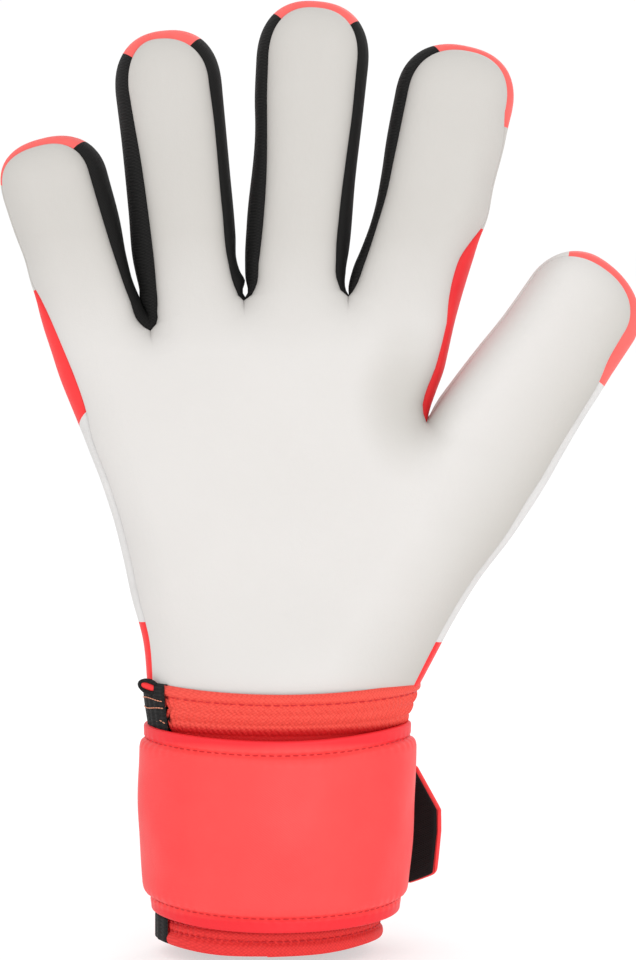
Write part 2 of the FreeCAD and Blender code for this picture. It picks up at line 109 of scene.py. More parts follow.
# ---- outlines -----------------------------------------------------------------------------------
# Where neighbouring walls meet at the fingers' roots, from the little finger's outside to the index
# finger's, then the thumb's two root corners, on each of the three outlines.
ROOTS = {
    "front": [(-63.1, 178.0), (-37.2, 182.6), (-9.8, 191.4), (20.9, 192.6), (49.7, 184.7)],
    "outer": [(-67.1, 177.0), (-38.3, 189.0), (-9.5, 193.0), (21.1, 193.6), (52.1, 184.2)],
    "back": [(-64.3, 178.0), (-37.6, 184.4), (-9.7, 192.2), (21.0, 193.1), (49.0, 184.6)],
}
THUMB_ROOTS = {
    "front": [(44.0, 155.8), (73.5, 133.1)],
    "outer": [(44.6, 157.4), (75.7, 131.6)],
    "back": [(44.2, 157.0), (73.2, 133.4)],
}
PALM_LEFT = {
    "front": [(77, -36.2), (92, -37.4), (104, -40.4), (116, -43.0), (127.5, -45.9), (139, -49.7),
              (151, -54.2), (160, -56.3), (169, -59.4), (178, -63.1)],
    "outer": [(77, -38.2), (92, -39.8), (104, -43.1), (116, -45.7), (127.5, -48.6), (139, -52.4),
              (151, -57.2), (160, -60.9), (169, -64.5), (177, -67.1)],
}
PALM_RIGHT = {
    "front": [(77, 39.2), (86, 43.7), (98, 50.2), (110, 57.7), (121.6, 66.4), (133.1, 73.5)],
    "outer": [(77, 41.2), (86, 46.1), (98, 52.6), (110, 60.1), (121.6, 69.0), (131.6, 75.7)],
}
INDEX_SIDE = {
    "front": [(155.8, 44.0), (159.5, 42.8), (165.5, 44.0), (171, 46.2), (177, 47.9), (184.7, 49.7)],
    "outer": [(157.4, 44.6), (161, 45.6), (165.5, 47.2), (171, 49.2), (177, 50.6), (184.2, 52.1)],
}
for rows, shift in ((PALM_LEFT, 3.4), (PALM_RIGHT, -3.2), (INDEX_SIDE, -2.4)):
    rows["back"] = [(z, x + shift) for z, x in rows["outer"]]
INDEX_SIDE["back"][0], INDEX_SIDE["back"][-1] = (157.0, 44.2), (184.6, 49.0)
PALM_LEFT["back"][-1], PALM_RIGHT["back"][-1] = (178.0, -64.3), (133.4, 73.2)

# Per finger and outline: (w, u) knots of its two edges, then its tip's shoulder, apex, top, power.
EDGES = {
    "little": {
        "front": ([(8, -11.5), (14, -12.8), (20, -14.4), (28, -14.7), (36, -15.5), (46, -16.0)],
                  [(0, 13.9), (8, 12.4), (20, 11.3), (36, 10.5), (46, 10.2)],
                  (46, -2.0, 57.6, 2.4)),
        "outer": ([(8, -14.8), (20, -14.6), (28, -14.7), (36, -15.5), (46, -16.1)],
                  [(9, 15.0), (14, 14.3), (20, 14.3), (32, 15.0), (46, 14.9)],
                  (46, -1.0, 60.4, 2.4)),
    },
    "ring": {
        "front": ([(0, -9.4), (8, -9.1), (28, -9.5), (44, -10.3), (56, -11.3), (64, -11.9)],
                  [(4, 14.0), (12, 12.5), (28, 12.1), (56, 11.9), (64, 11.5)],
                  (64, -2.0, 78.1, 2.3)),
        "outer": ([(8, -14.7), (14, -15.5), (30, -15.6), (48, -15.8), (64, -16.3)],
                  [(3.5, 15.8), (7, 16.85), (9.5, 15.7), (13, 14.9), (20, 15.2), (40, 15.2), (64, 15.1)],
                  (64, 0.3, 81.5, 2.4)),
    },
    "middle": {
        "front": ([(0, -11.6), (8, -11.1), (36, -11.1), (48, -12.0), (56, -12.7), (68, -13.3)],
                  [(4, 12.5), (12, 11.3), (24, 11.2), (40, 11.8), (52, 12.4), (68, 12.6)],
                  (68, -0.4, 82.7, 2.4)),
        "outer": ([(-0.5, -13.7), (3, -14.75), (8, -15.4), (20, -15.8), (48, -15.7), (56, -16.5),
                   (68, -17.0)],
                  [(8, 14.6), (14, 15.0), (36, 15.1), (52, 15.6), (68, 16.0)],
                  (68, -0.4, 85.7, 2.4)),
    },
    "index": {
        "front": ([(0, -15.4), (8, -14.2), (20, -13.1), (28, -12.6), (40, -12.8), (60, -13.3)],
                  [(4, 12.1), (10, 12.0), (16, 12.7), (21, 14.6), (27, 17.2), (40, 17.2), (52, 17.3),
                   (60, 15.7)],
                  (60, 2.3, 74.3, 2.3)),
        "outer": ([(6, -17.3), (12, -16.3), (20, -15.2), (36, -15.5), (44, -16.2), (60, -16.9)],
                  [(4, 15.9), (12, 16.4), (20, 17.0), (27, 17.3), (40, 17.2), (52, 17.5), (60, 17.9)],
                  (60, 1.0, 76.5, 2.4)),
    },
    "thumb": {
        "front": ([(4, -21.4), (12, -21.1), (24, -20.3), (36, -19.2), (50, -18.8)],
                  [(2, 15.8), (12, 15.2), (24, 14.7), (34, 14.2), (42, 12.6), (50, 12.0)],
                  (50, -4.0, 62.8, 2.2)),
        "outer": ([(4, -21.4), (12, -21.1), (24, -20.3), (36, -19.2), (50, -18.8)],
                  [(2, 18.3), (12, 17.5), (24, 16.7), (36, 16.4), (50, 16.2)],
                  (50, -5.0, 65.6, 2.1)),
    },
}
# How far an edge of the palm foam lies ahead of the middle plane: a seam well ahead, a rolled side
# nearly on it.
SEAM, ROLLED, THUMB_SEAM, WEB_SEAM = 6.4, 0.4, 5.4, 1.8
EDGE_DEPTH = {
    "little": ([(6, SEAM), (12, 4.4), (20, ROLLED), (46, ROLLED)], [(0, SEAM), (46, SEAM)]),
    "ring": ([(0, SEAM), (64, SEAM)], [(0, SEAM), (64, SEAM)]),
    "middle": ([(0, SEAM), (68, SEAM)], [(0, SEAM), (68, SEAM)]),
    "index": ([(0, SEAM), (60, SEAM)],
              [(8, SEAM), (16, 5.0), (27, ROLLED), (50, ROLLED), (60, 3.4)]),
    "thumb": ([(-2, WEB_SEAM), (6, ROLLED), (50, ROLLED)],
              [(0, THUMB_SEAM), (36, THUMB_SEAM), (50, SEAM)]),
}
TIP_DEPTH = 5.6
BACK_SEAM = 6.0  # how far behind the middle plane the back's edge lies


class Finger:
    """A finger's three outlines in plan, and the grids between them."""

    def __init__(self, name, root, lean, left_root, right_root):
        self.name, self.root = name, np.array(root)
        lean = math.radians(lean)
        self.across = np.array([math.cos(lean), -math.sin(lean)])
        self.along = np.array([math.sin(lean), math.cos(lean)])
        self.edges, self.tips = {}, {}
        for kind in ("front", "outer", "back"):
            drawn = EDGES[name]["outer" if kind == "back" else kind]
            inset = 3.0 if kind == "back" else 0.0
            sides = []
            for knots, corner, sign in ((drawn[0], left_root, 1), (drawn[1], right_root, -1)):
                u, w = self.local(corner[kind])
                rest = [(a, b + sign * inset) for a, b in knots if a > w + 0.9]
                if corner["crotch"] and rest[0][0] > w + 2.0:
                    rest.insert(0, (w + 0.8, mix(u, rest[0][1], 0.42)))
                sides.append([(w, u), *rest])
            self.edges[kind] = sides
            shoulder, apex, top, power = drawn[2]
            self.tips[kind] = (shoulder, apex, top - inset, power)

    def local(self, point):
        """A plan point as (u, w)."""
        d = np.asarray(point, float) - self.root
        return float(d @ self.across), float(d @ self.along)

    def plan(self, u, w):
        return self.root + np.multiply.outer(u, self.across) + np.multiply.outer(w, self.along)

    def tip(self, kind, x, y):
        """A unit half disc laid on the tip: x across, y along, bulged to a superellipse."""
        shoulder, apex, top, power = self.tips[kind]
        left, right = (side[-1][1] for side in self.edges[kind])
        angle = np.arctan2(np.abs(y), np.abs(x))
        reach = (np.cos(angle) ** power + np.sin(angle) ** power) ** (-1.0 / power)
        half = np.where(x < 0, apex - left, right - apex)
        return apex + half * x * reach, shoulder + (top - shoulder) * y * reach

    def outline(self, kind, p):
        """Plan points at p: 0 to 1 up the left edge, 1 to 2 round the tip, 2 to 3 down the right."""
        p = np.asarray(p, float)
        shoulder = self.tips[kind][0]
        u, w = np.empty_like(p), np.empty_like(p)
        for side, share in ((0, p), (1, 3.0 - p)):
            knots = self.edges[kind][side]
            here = share < 1.0
            w[here] = mix(knots[0][0], shoulder, share[here])
            u[here] = through(knots, w[here])
        here = (p >= 1.0) & (p <= 2.0)
        angle = (2.0 - p[here]) * math.pi
        u[here], w[here] = self.tip(kind, np.cos(angle), np.sin(angle))
        return u, w

    def patch(self, kind, columns, low_rows, tip_rows):
        """Plan grid inside an outline: rows across from root to shoulder, then a square squeezed into
        a half disc, x = s sqrt(1 - t^2 / 2), y = t sqrt(1 - s^2 / 2)."""
        s = np.sin(np.linspace(-0.5, 0.5, columns) * math.pi)
        rise = np.linspace(0.0, 1.0, low_rows)
        shoulder, apex = self.tips[kind][:2]
        left, right = (
            along_curve(knots, mix(knots[0][0], shoulder, rise)) for knots in self.edges[kind]
        )
        middle = (left + right) / 2
        middle[:, 0] = mix(middle[:, 0], apex, rise ** 2)
        side = np.where((s < 0)[None, :, None], left[:, None], right[:, None])
        low = middle[:, None] + np.abs(s)[None, :, None] * (side - middle[:, None])
        t = np.sin(np.linspace(0.0, 0.5, tip_rows)[1:] * math.pi)[:, None]
        u, w = self.tip(kind, s * np.sqrt(1 - t * t / 2), t * np.sqrt(1 - s * s / 2))
        return np.concatenate([low[..., 0], u]), np.concatenate([low[..., 1], w])

    def edge_depth(self, p):
        """How far ahead of the finger's middle plane the palm foam's edge lies, at outline place p."""
        shoulder = self.tips["front"][0]
        depth = np.empty_like(p)
        ends = []
        for side, share in ((0, p), (1, 3.0 - p)):
            knots = EDGE_DEPTH[self.name][side]
            start = self.edges["front"][side][0][0]
            here = share < 1.0
            depth[here] = through(knots, mix(start, shoulder, share[here]))
            ends.append(knots[-1][1])
        here = (p >= 1.0) & (p <= 2.0)
        turn = p[here] - 1.0
        base = mix(ends[0], ends[1], smooth(turn))
        depth[here] = mix(base, TIP_DEPTH, smooth(np.minimum(turn, 1.0 - turn) / 0.3))
        return depth


def corners(index, table=ROOTS):
    """A root corner on the three outlines. Between two fingers the outlines end in a round crotch."""
    crotch = table is ROOTS and 0 < index < 4
    return {**{kind: table[kind][index] for kind in table}, "crotch": crotch}


FINGERS = {
    "little": Finger("little", (-53.4, 181.0), -14.2, corners(0), corners(1)),
    "ring": Finger("ring", (-25.8, 189.6), -4.9, corners(1), corners(2)),
    "middle": Finger("middle", (5.0, 193.8), 4.9, corners(2), corners(3)),
    "index": Finger("index", (37.8, 191.6), 13.1, corners(3), corners(4)),
    "thumb": Finger("thumb", (63.0, 146.0), 33.5, corners(0, THUMB_ROOTS), corners(1, THUMB_ROOTS)),
}


def side_rows(kind, table, count):
    """Plan points evenly spaced up one of the hand's sides."""
    knots = table[kind]
    return along_curve(knots, np.linspace(knots[0][0], knots[-1][0], count))


def whole_outline(kind):
    """The glove's outline from the wrist up the little-finger side, round to the thumb side: plan
    points, and how far off the middle plane the wall's edge lies at each."""
    p = np.linspace(0.0, 3.0, 181)
    points, depths = [side_rows(kind, PALM_LEFT, 50)], [np.full(50, SEAM)]

    def add(finger):
        points.append(finger.plan(*finger.outline(kind, p)))
        depths.append(finger.edge_depth(p))

    for name in ("little", "ring", "middle", "index"):
        add(FINGERS[name])
    points.append(side_rows(kind, INDEX_SIDE, 24)[::-1])
    depths.append(np.linspace(SEAM, WEB_SEAM, 24))
    add(FINGERS["thumb"])
    points.append(side_rows(kind, PALM_RIGHT, 40)[::-1])
    depths.append(np.full(40, THUMB_SEAM))
    depths = np.concatenate(depths)
    return np.concatenate(points), depths if kind == "front" else np.full_like(depths, BACK_SEAM)


OUTLINES = {kind: whole_outline(kind) for kind in ("front", "back")}


def nearest(points, kind):
    """Distance from plan points to the outline, and the edge depth at the nearest place on it."""
    line, depth = OUTLINES[kind]
    start, step = line[:-1], np.diff(line, axis=0)
    long = np.maximum((step ** 2).sum(1), 1e-9)
    flat = points.reshape(-1, 2)
    far, deep = np.empty(len(flat)), np.empty(len(flat))
    for first in range(0, len(flat), 2000):
        part = slice(first, first + 2000)
        offset = flat[part, None] - start[None]
        t = np.clip((offset * step).sum(2) / long, 0.0, 1.0)
        gap = ((offset - t[..., None] * step) ** 2).sum(2)
        i = gap.argmin(1)
        rows = np.arange(len(i))
        far[part] = np.sqrt(gap[rows, i])
        deep[part] = mix(depth[i], depth[i + 1], t[rows, i])
    return far.reshape(points.shape[:-1]), deep.reshape(points.shape[:-1])


def bump(points, middle, width, height):
    """A smooth mound: height times exp(-(distance / width)^2), widths given along x and z."""
    x, z = ((points[..., i] - middle[i]) / width[i] for i in (0, 1))
    return height * np.exp(-(x * x + z * z))


def tilt(name, w):
    """Forward lean of a finger: zero at its root, then over a bend to a steady slope."""
    bend = 16.0
    w = np.maximum(w, 0.0)
    run = np.where(w < bend, w * w / (2 * bend), w - bend / 2)
    return run * math.tan(math.radians(TILT[name])) if name else np.zeros_like(w)


def forward(points):
    """How far the thumb's base stands ahead of the hand's middle plane."""
    return bump(points, (72.0, 158.0), (38.0, 46.0), 2.0)


def palm_shape(points):
    """Fullness of the palm beyond a finger's, with its mounds and the crease below the thumb's web."""
    x, z = points[..., 0], points[..., 1]
    whole = PALM_RISE * np.exp(-np.abs((x - 2) / 52) ** 3 - np.abs((z - 128) / 54) ** 3)
    mounds = bump(points, (44, 118), (20, 30), 3.0) + bump(points, (-26, 112), (16, 30), 1.6)
    mounds += bump(points, (-6, 172), (44, 12), 1.2) - bump(points, (6, 138), (22, 20), 2.0)
    mounds -= bump(points, (34, 163), (10, 13), 3.0)
    fade = smooth((z - 126) / 16) * smooth((164 - z) / 8)
    across = x - 42.5 - (155 - z) * 0.19
    crease = fade * (0.8 * bell(across, 0, 3.4) - 0.5 * bell(across, 7, 6))
    pleat = bump(points, (52, 152), (5, 3), 0.5)
    return whole + mounds - crease - pleat


def back_shape(points):
    """Fullness of the hand's back."""
    x, z = points[..., 0], points[..., 1]
    whole = HAND_BACK_RISE * np.exp(-np.abs((x - 2) / 52) ** 3 - np.abs((z - 130) / 56) ** 3)
    return whole + bump(points, (-6, 178), (46, 12), 1.8)


def wrist_depth(points):
    """Depth of the oval that the hand closes to at the wrist, as wide as the hand at each height."""
    left, right = (through(table["outer"], points[..., 1]) for table in (PALM_LEFT, PALM_RIGHT))
    return WRIST_DEPTH * arch(points[..., 0], (left + right) / 2, (right - left) / 2 + 0.4)


def near_wrist(points):
    """From 1 at the wrist to 0 further up the hand."""
    return smooth((116.0 - points[..., 1]) / 38.0)


def wall_y(points, w, name, kind):
    """y of the palm's or the back's wall over plan points: from the edge's own depth it rises over
    EDGE_ROUND to its full depth, and with no finger's name it turns into the wrist's oval."""
    far, deep = nearest(points, kind)
    if kind == "front":
        sign, full = -1.0, FINGER_FRONT + palm_shape(points)
    else:
        sign, full = 1.0, FINGER_BACK + back_shape(points)
    depth = deep + (full - deep) * rounded(far, EDGE_ROUND, 2.2)
    if not name:
        depth = mix(depth, wrist_depth(points), near_wrist(points))
    return sign * depth - tilt(name, w) - forward(points)


def lifted(points, y):
    """Plan points (x, z) with a y put between."""
    return np.stack([points[..., 0], y, points[..., 1]], -1)


# ---- meshes -------------------------------------------------------------------------------------
class Shape:
    """Grids of points gathered as one mesh."""

    def __init__(self):
        self.points, self.faces, self.count = [], [], 0

    def grid(self, points, flip=False, closed=False):
        """Adds a rows by columns grid. Faces look along columns x rows."""
        rows, columns = points.shape[:2]
        index = np.arange(rows * columns).reshape(rows, columns) + self.count
        if closed:
            index = np.hstack([index, index[:, :1]])
        quads = np.stack([index[:-1, :-1], index[:-1, 1:], index[1:, 1:], index[1:, :-1]], -1)
        quads = quads.reshape(-1, 4)
        self.faces.append(quads[:, ::-1] if flip else quads)
        self.points.append(points.reshape(-1, 3))
        self.count += rows * columns
        return self

    def solids(self, points, faces, centres):
        """Adds a copy of a small shape at each centre. Centres are (origin, 3x3 axes) arrays."""
        origin, axes = centres
        placed = np.einsum("pi,nij->npj", points, axes) + origin[:, None]
        starts = self.count + np.arange(len(origin)) * len(points)
        self.faces.append((faces[None] + starts[:, None, None]).reshape(-1, faces.shape[1]))
        self.points.append(placed.reshape(-1, 3))
        self.count += placed.shape[0] * placed.shape[1]
        return self

    def arrays(self):
        """All points, and all faces as four indices each."""
        return np.concatenate(self.points), np.concatenate(self.faces)


def shared_normals(shapes):
    """Vertex normals of several shapes, averaged by area over all points in the same place."""
    points = np.concatenate([shape.arrays()[0] for shape in shapes])
    keys = np.round(points * 200.0).astype(np.int64)
    _, place = np.unique(keys, axis=0, return_inverse=True)
    place = place.reshape(-1)
    total = np.zeros((place.max() + 1, 3))
    start = 0
    for shape in shapes:
        own, faces = shape.arrays()
        quad = own[faces]
        area = np.cross(quad[:, 2] - quad[:, 0], quad[:, 3] - quad[:, 1])
        for i in range(4):
            np.add.at(total, place[start + faces[:, i]], area)
        start += len(own)
    normals = total[place]
    normals /= np.maximum(np.linalg.norm(normals, axis=1, keepdims=True), 1e-9)
    cuts = np.cumsum([len(shape.arrays()[0]) for shape in shapes])[:-1]
    return np.split(normals, cuts)


def mesh_object(name, shape, material, normals=None):
    """A smooth-shaded object made of a shape, in metres."""
    points, faces = shape.arrays()
    mesh = bpy.data.meshes.new(name)
    mesh.vertices.add(len(points))
    mesh.vertices.foreach_set("co", (points * MM).ravel())
    mesh.loops.add(faces.size)
    mesh.loops.foreach_set("vertex_index", faces.ravel())
    mesh.polygons.add(len(faces))
    mesh.polygons.foreach_set("loop_start", np.arange(0, faces.size, 4))
    mesh.polygons.foreach_set("use_smooth", np.ones(len(faces), bool))
    mesh.update(calc_edges=True)
    if normals is not None:
        mesh.normals_split_custom_set_from_vertices([tuple(n) for n in normals])
    mesh.materials.append(material)
    obj = bpy.data.objects.new(name, mesh)
    bpy.context.scene.collection.objects.link(obj)
    return obj


# ---- shader maths -------------------------------------------------------------------------------
class Value:
    """A shader socket with arithmetic."""

    def __init__(self, tree, socket):
        self.tree, self.socket = tree, socket

    def _math(self, kind, *others):
        node = self.tree.nodes.new("ShaderNodeMath")
        node.operation = kind
        for slot, item in zip(node.inputs, (self, *others)):
            plug(self.tree, slot, item)
        return Value(self.tree, node.outputs[0])

    def __add__(self, other):
        return self._math("ADD", other)

    def __sub__(self, other):
        return self._math("SUBTRACT", other)

    def __mul__(self, other):
        return self._math("MULTIPLY", other)

    def __truediv__(self, other):
        return self._math("DIVIDE", other)

    def __rsub__(self, other):
        return (self * -1.0) + other

    __radd__, __rmul__ = __add__, __mul__

    def sin(self):
        return self._math("SINE")

    def abs(self):
        return self._math("ABSOLUTE")

    def power(self, other):
        return self._math("POWER", other)

    def at_least(self, other):
        return self._math("MAXIMUM", other)

    def clamp(self):
        return self.at_least(0.0)._math("MINIMUM", 1.0)


def plug(tree, slot, item):
    """Feeds a value into a socket by a link, or sets the socket to a plain number."""
    if isinstance(item, Value):
        tree.links.new(item.socket, slot)
    else:
        slot.default_value = item


class Surface:
    """A material under construction: one Principled shader and the nodes that feed it."""

    def __init__(self, name, colour, roughness, **plain):
        self.material = bpy.data.materials.new(name)
        self.material.use_nodes = True
        self.tree = self.material.node_tree
        self.shader = self.tree.nodes["Principled BSDF"]
        self.shader.inputs["Base Color"].default_value = (*colour, 1.0)
        self.shader.inputs["Roughness"].default_value = roughness
        for key, number in plain.items():
            self.shader.inputs[key.replace("_", " ")].default_value = number
        self.material.diffuse_color = (*colour, 1.0)

    def node(self, kind, output, settings=(), **inputs):
        """Makes a node, sets its settings, plugs its inputs and returns the named output."""
        node = self.tree.nodes.new(kind)
        for key, setting in dict(settings).items():
            setattr(node, key, setting)
        for key, item in inputs.items():
            plug(self.tree, node.inputs[key.replace("_", " ")], item)
        return Value(self.tree, node.outputs[output])

    def place(self):
        """The point on the object, in millimetres, as three values."""
        split = self.tree.nodes.new("ShaderNodeSeparateXYZ")
        plug(self.tree, split.inputs[0], self.node("ShaderNodeTexCoord", "Object"))
        return [Value(self.tree, out) * 1000.0 for out in split.outputs]

    def noise(self, per_mm, detail=2.0):
        """Cloudy noise of so many clouds to a millimetre."""
        return self.node(
            "ShaderNodeTexNoise", "Fac", Vector=self.node("ShaderNodeTexCoord", "Object"),
            Scale=per_mm * 1000.0, Detail=detail, Roughness=0.5,
        )

    def tint(self, factor, low, high):
        """Base colour from one colour to another as the factor goes from 0 to 1."""
        ramp = self.tree.nodes.new("ShaderNodeMix")
        ramp.data_type = "RGBA"
        plug(self.tree, ramp.inputs[0], factor)
        ramp.inputs[6].default_value = (*low, 1.0)
        ramp.inputs[7].default_value = (*high, 1.0)
        self.tree.links.new(ramp.outputs[2], self.shader.inputs["Base Color"])
        return self

    def rough(self, value):
        """Roughness from a value."""
        plug(self.tree, self.shader.inputs["Roughness"], value)
        return self

    def relief(self, height_mm, strength=1.0):
        """Bump from a height in millimetres."""
        node = self.tree.nodes.new("ShaderNodeBump")
        node.inputs["Distance"].default_value = MM
        node.inputs["Strength"].default_value = strength
        plug(self.tree, node.inputs["Height"], height_mm)
        self.tree.links.new(node.outputs[0], self.shader.inputs["Normal"])
        return self


def latex():
    """Smooth latex foam: a fine grain over soft unevenness, with painted shade along the fingers, in
    the hollow beside the thumb's web and towards the thumb's edge."""
    s = Surface("latex_foam", (0.62, 0.60, 0.58), 0.62, Specular_IOR_Level=0.3)
    x, _, z = s.place()
    cloud, grain = s.noise(0.035, 3.0), s.noise(2.6)
    # painted shade: the fingers darker than the palm, as if less lit, starting higher on the thumb's
    # side
    thumb_side = (x - 45.0).at_least(0.0) * 0.6
    fingers = ((z - thumb_side - 176.0) / 34.0).clamp()
    # painted shade towards the thumb's lower edge, as if it turned from the light
    edge_z, edge_x = PALM_RIGHT["front"][0]
    lean_x, lean_z = 0.522, 0.853  # the way the thumb's edge runs up from the wrist
    from_edge = (z - edge_z) * lean_x - (x - edge_x) * lean_z
    edge = (1.0 - from_edge / 26.0).clamp().power(1.4)
    # painted shade in the hollow beside the thumb's web
    off_x, off_z = (x - 38.0) / 17.0, (z - 162.0) / 26.0
    hollow = (1.0 - off_x.power(2.0) - off_z.power(2.0)).clamp().power(1.7)
    # the three masks are painted shade; the cloud is the foam's own uneven tone
    tone_and_painted_shade = fingers * 0.56 + edge * 0.8 + hollow * 0.62 + cloud * 0.2 - 0.08
    s.tint(tone_and_painted_shade.clamp(), (0.665, 0.645, 0.625), (0.475, 0.455, 0.42))
    s.rough(0.55 + grain * 0.16)
    return s.relief(grain * 0.05 + s.noise(0.55) * 0.09, 0.55).material


def knit(name, low, high, pitch, roughness=0.8, depth=0.16, sheen=0.25, fold=None, contrast=1.0):
    """A knitted face: rows of small slanted stitches, height (|sin(a + z)| |sin(a - z)|)^(1/2) with a
    across them. Between the two heights of fold it is darker: painted shade where the knit lies
    beside the strap's edge."""
    middle = mix(np.array(low), np.array(high), 0.5)
    s = Surface(name, middle, roughness, Sheen_Weight=sheen, Specular_IOR_Level=0.2)
    x, y, z = s.place()
    turn = math.pi / pitch
    along = (x * 0.8 + y * 0.6) * turn
    weave = ((along + z * turn).sin().abs() * (along - z * turn).sin().abs()).power(0.5)
    fuzz = s.noise(1.4)
    light = weave * (0.8 * contrast) + fuzz * 0.5 + (0.4 - 0.55 * contrast)
    if fold:
        # painted shade between the two heights of fold
        light = light - ((z - fold[0]) * 0.5).clamp() * ((fold[1] - z) * 0.7).clamp() * 0.7
    s.tint(light.clamp(), low, high)
    s.rough(fuzz * 0.2 + (roughness - 0.1))
    return s.relief(weave * depth + fuzz * 0.06, 0.8).material


def twill(x, y, z):
    """Fine slanted lines: sin(9 (0.7 x + 0.7 y + z))."""
    return ((x * 0.7 + y * 0.7 + z) * 9.0).sin()


def smooth_cloth(name, low, high, roughness=0.55, grain=0.05):
    """A smooth coated cloth with a faint twill."""
    s = Surface(name, mix(np.array(low), np.array(high), 0.5), roughness, Specular_IOR_Level=0.3)
    lines = twill(*s.place())
    cloud = s.noise(0.12, 3.0)
    s.tint((cloud * 1.6 - 0.3).clamp(), low, high)
    s.rough(roughness - 0.06 + cloud * 0.12)
    return s.relief(lines * grain * 0.35 + s.noise(1.8) * grain, 0.7).material


def strap_cloth():
    """The strap's coated cloth, deeper in colour along its stitched borders, with painted shade towards
    its sides.
    """
    s = Surface("strap_coral", (0.92, 0.085, 0.08), 0.46, Specular_IOR_Level=0.32)
    x, y, z = s.place()
    middle, half = 38.6, 23.4  # of the raised pad between the borders
    border = (((z - middle).abs() - half) * 0.5).clamp()
    cloud = s.noise(0.10, 3.0)
    # painted shade: the strap's sides turn away from the light
    sides = ((x.abs() - 20.0) / 22.0).clamp()
    deep = (border + sides * 0.4 + cloud * 0.3 - 0.1).clamp()
    s.tint(deep, (0.925, 0.065, 0.062), (0.81, 0.018, 0.027))
    s.rough(0.42 + cloud * 0.12)
    height = twill(x, y, z) * 0.012 + s.noise(1.8) * 0.035 + s.noise(0.25) * 0.12
    return s.relief(height, 0.7).material


def thread(name, colour):
    """Twisted thread: height 0.04 sin(12 (x + y + z))."""
    s = Surface(name, colour, 0.5)
    x, y, z = s.place()
    return s.relief(((x + y + z) * 12.0).sin() * 0.04, 0.7).material


LATEX = latex()
GUSSET = knit(
    "gusset_mesh", (0.003, 0.003, 0.003), (0.016, 0.0155, 0.015), pitch=0.9, roughness=0.72,
    depth=0.18, sheen=0.0,
)
CORAL = smooth_cloth("backhand_coral", (0.84, 0.026, 0.030), (0.92, 0.040, 0.042))
PUNCH = smooth_cloth(
    "punch_latex", (0.70, 0.022, 0.024), (0.80, 0.034, 0.034), roughness=0.5, grain=0.08,
)
CORAL_CAP = smooth_cloth("tip_coral", (0.88, 0.115, 0.105), (0.95, 0.15, 0.135))
DEEP_CORAL = smooth_cloth("web_coral", (0.76, 0.018, 0.026), (0.86, 0.034, 0.036))
WHITE = smooth_cloth("panel_white", (0.63, 0.62, 0.61), (0.71, 0.70, 0.69), roughness=0.6)
LINING = knit(
    "lining_knit", (0.04, 0.041, 0.043), (0.10, 0.10, 0.105), pitch=0.8, roughness=0.85, depth=0.12,
)
RIBBED = {"pitch": 1.0, "roughness": 0.6, "depth": 0.11, "sheen": 0.0, "contrast": 0.45}
# its fold is painted shade on the band's lower part, in the gap behind the strap's upper rim
ELASTIC = knit(
    "elastic_knit", (0.60, 0.012, 0.014), (0.97, 0.125, 0.088), fold=(56.0, 68.2), **RIBBED,
)
# its fold is painted shadow on the hem's upper part, under the strap's lower edge
HEM_KNIT = knit("hem_knit", (0.50, 0.008, 0.011), (0.90, 0.055, 0.050), fold=(8.6, 30.0), **RIBBED)
STRAP = strap_cloth()
WEBBING = knit(
    "webbing_black", (0.003, 0.003, 0.003), (0.016, 0.016, 0.016), pitch=1.1, roughness=0.7,
    depth=0.2, sheen=0.0,
)
THREAD_CORAL = thread("thread_coral", (0.60, 0.010, 0.016))
THREAD_ORANGE = thread("thread_orange", (0.78, 0.30, 0.17))
HOOK = knit(
    "hook_nylon", (0.002, 0.002, 0.002), (0.010, 0.010, 0.010), pitch=0.7, roughness=0.6, depth=0.3,
    sheen=0.0,
)
PILE = knit(
    "loop_pile", (0.01, 0.01, 0.011), (0.04, 0.04, 0.042), pitch=0.6, roughness=0.9, depth=0.3,
    sheen=0.4,
)


# ---- the hand -----------------------------------------------------------------------------------
COLUMNS, LOW_ROWS, TIP_ROWS = 37, 40, 16  # of a finger's wall
LOWER_ROWS, UPPER_ROWS = 30, 12  # of the hand's wall, below and above the thumb's root
SIDE_STEPS = 13  # of a side wall, from front to back
# w at which a finger's lower pieces end: halfway between the reaches of its two hinges
SPLIT = {"little": 23.0, "ring": 26.5, "middle": 27.0, "index": 26.0, "thumb": 24.5}


def finger_wall(name, kind):
    """A finger's palm or back wall: plan points, points and w, all on one grid."""
    finger = FINGERS[name]
    u, w = finger.patch(kind, COLUMNS, LOW_ROWS, TIP_ROWS)
    points = finger.plan(u, w)
    return points, lifted(points, wall_y(points, w, name, kind)), w


def hand_plan(kind, roots):
    """Plan grid of the palm or the back: a Coons patch between the wrist, the finger roots, the
    little-finger side and the thumb side, P = (1-v)B + vT + (1-h)L + hR - the corners' own patch."""
    top = np.concatenate([roots["little"], *(roots[n][1:] for n in ("ring", "middle", "index"))])
    lower = side_rows(kind, PALM_RIGHT, LOWER_ROWS)
    upper = side_rows(kind, INDEX_SIDE, UPPER_ROWS)
    right = np.concatenate([lower, roots["thumb"][::-1][1:], upper[1:]])
    v = (right[:, 1] - right[0, 1]) / (right[-1, 1] - right[0, 1])
    left = along_curve(PALM_LEFT[kind], mix(PALM_LEFT[kind][0][0], PALM_LEFT[kind][-1][0], v))
    left[-1], right[-1] = top[0], top[-1]
    h = (top[:, 0] - top[0, 0]) / (top[-1, 0] - top[0, 0])
    bottom = mix(left[0], right[0], h[:, None])
    v, h = v[:, None, None], h[None, :, None]
    sides = mix(left[:, None], right[:, None], h)
    ends = mix(bottom[None], top[None], v)
    own = mix(mix(left[0], right[0], h), mix(left[-1], right[-1], h), v)
    return sides + ends - own


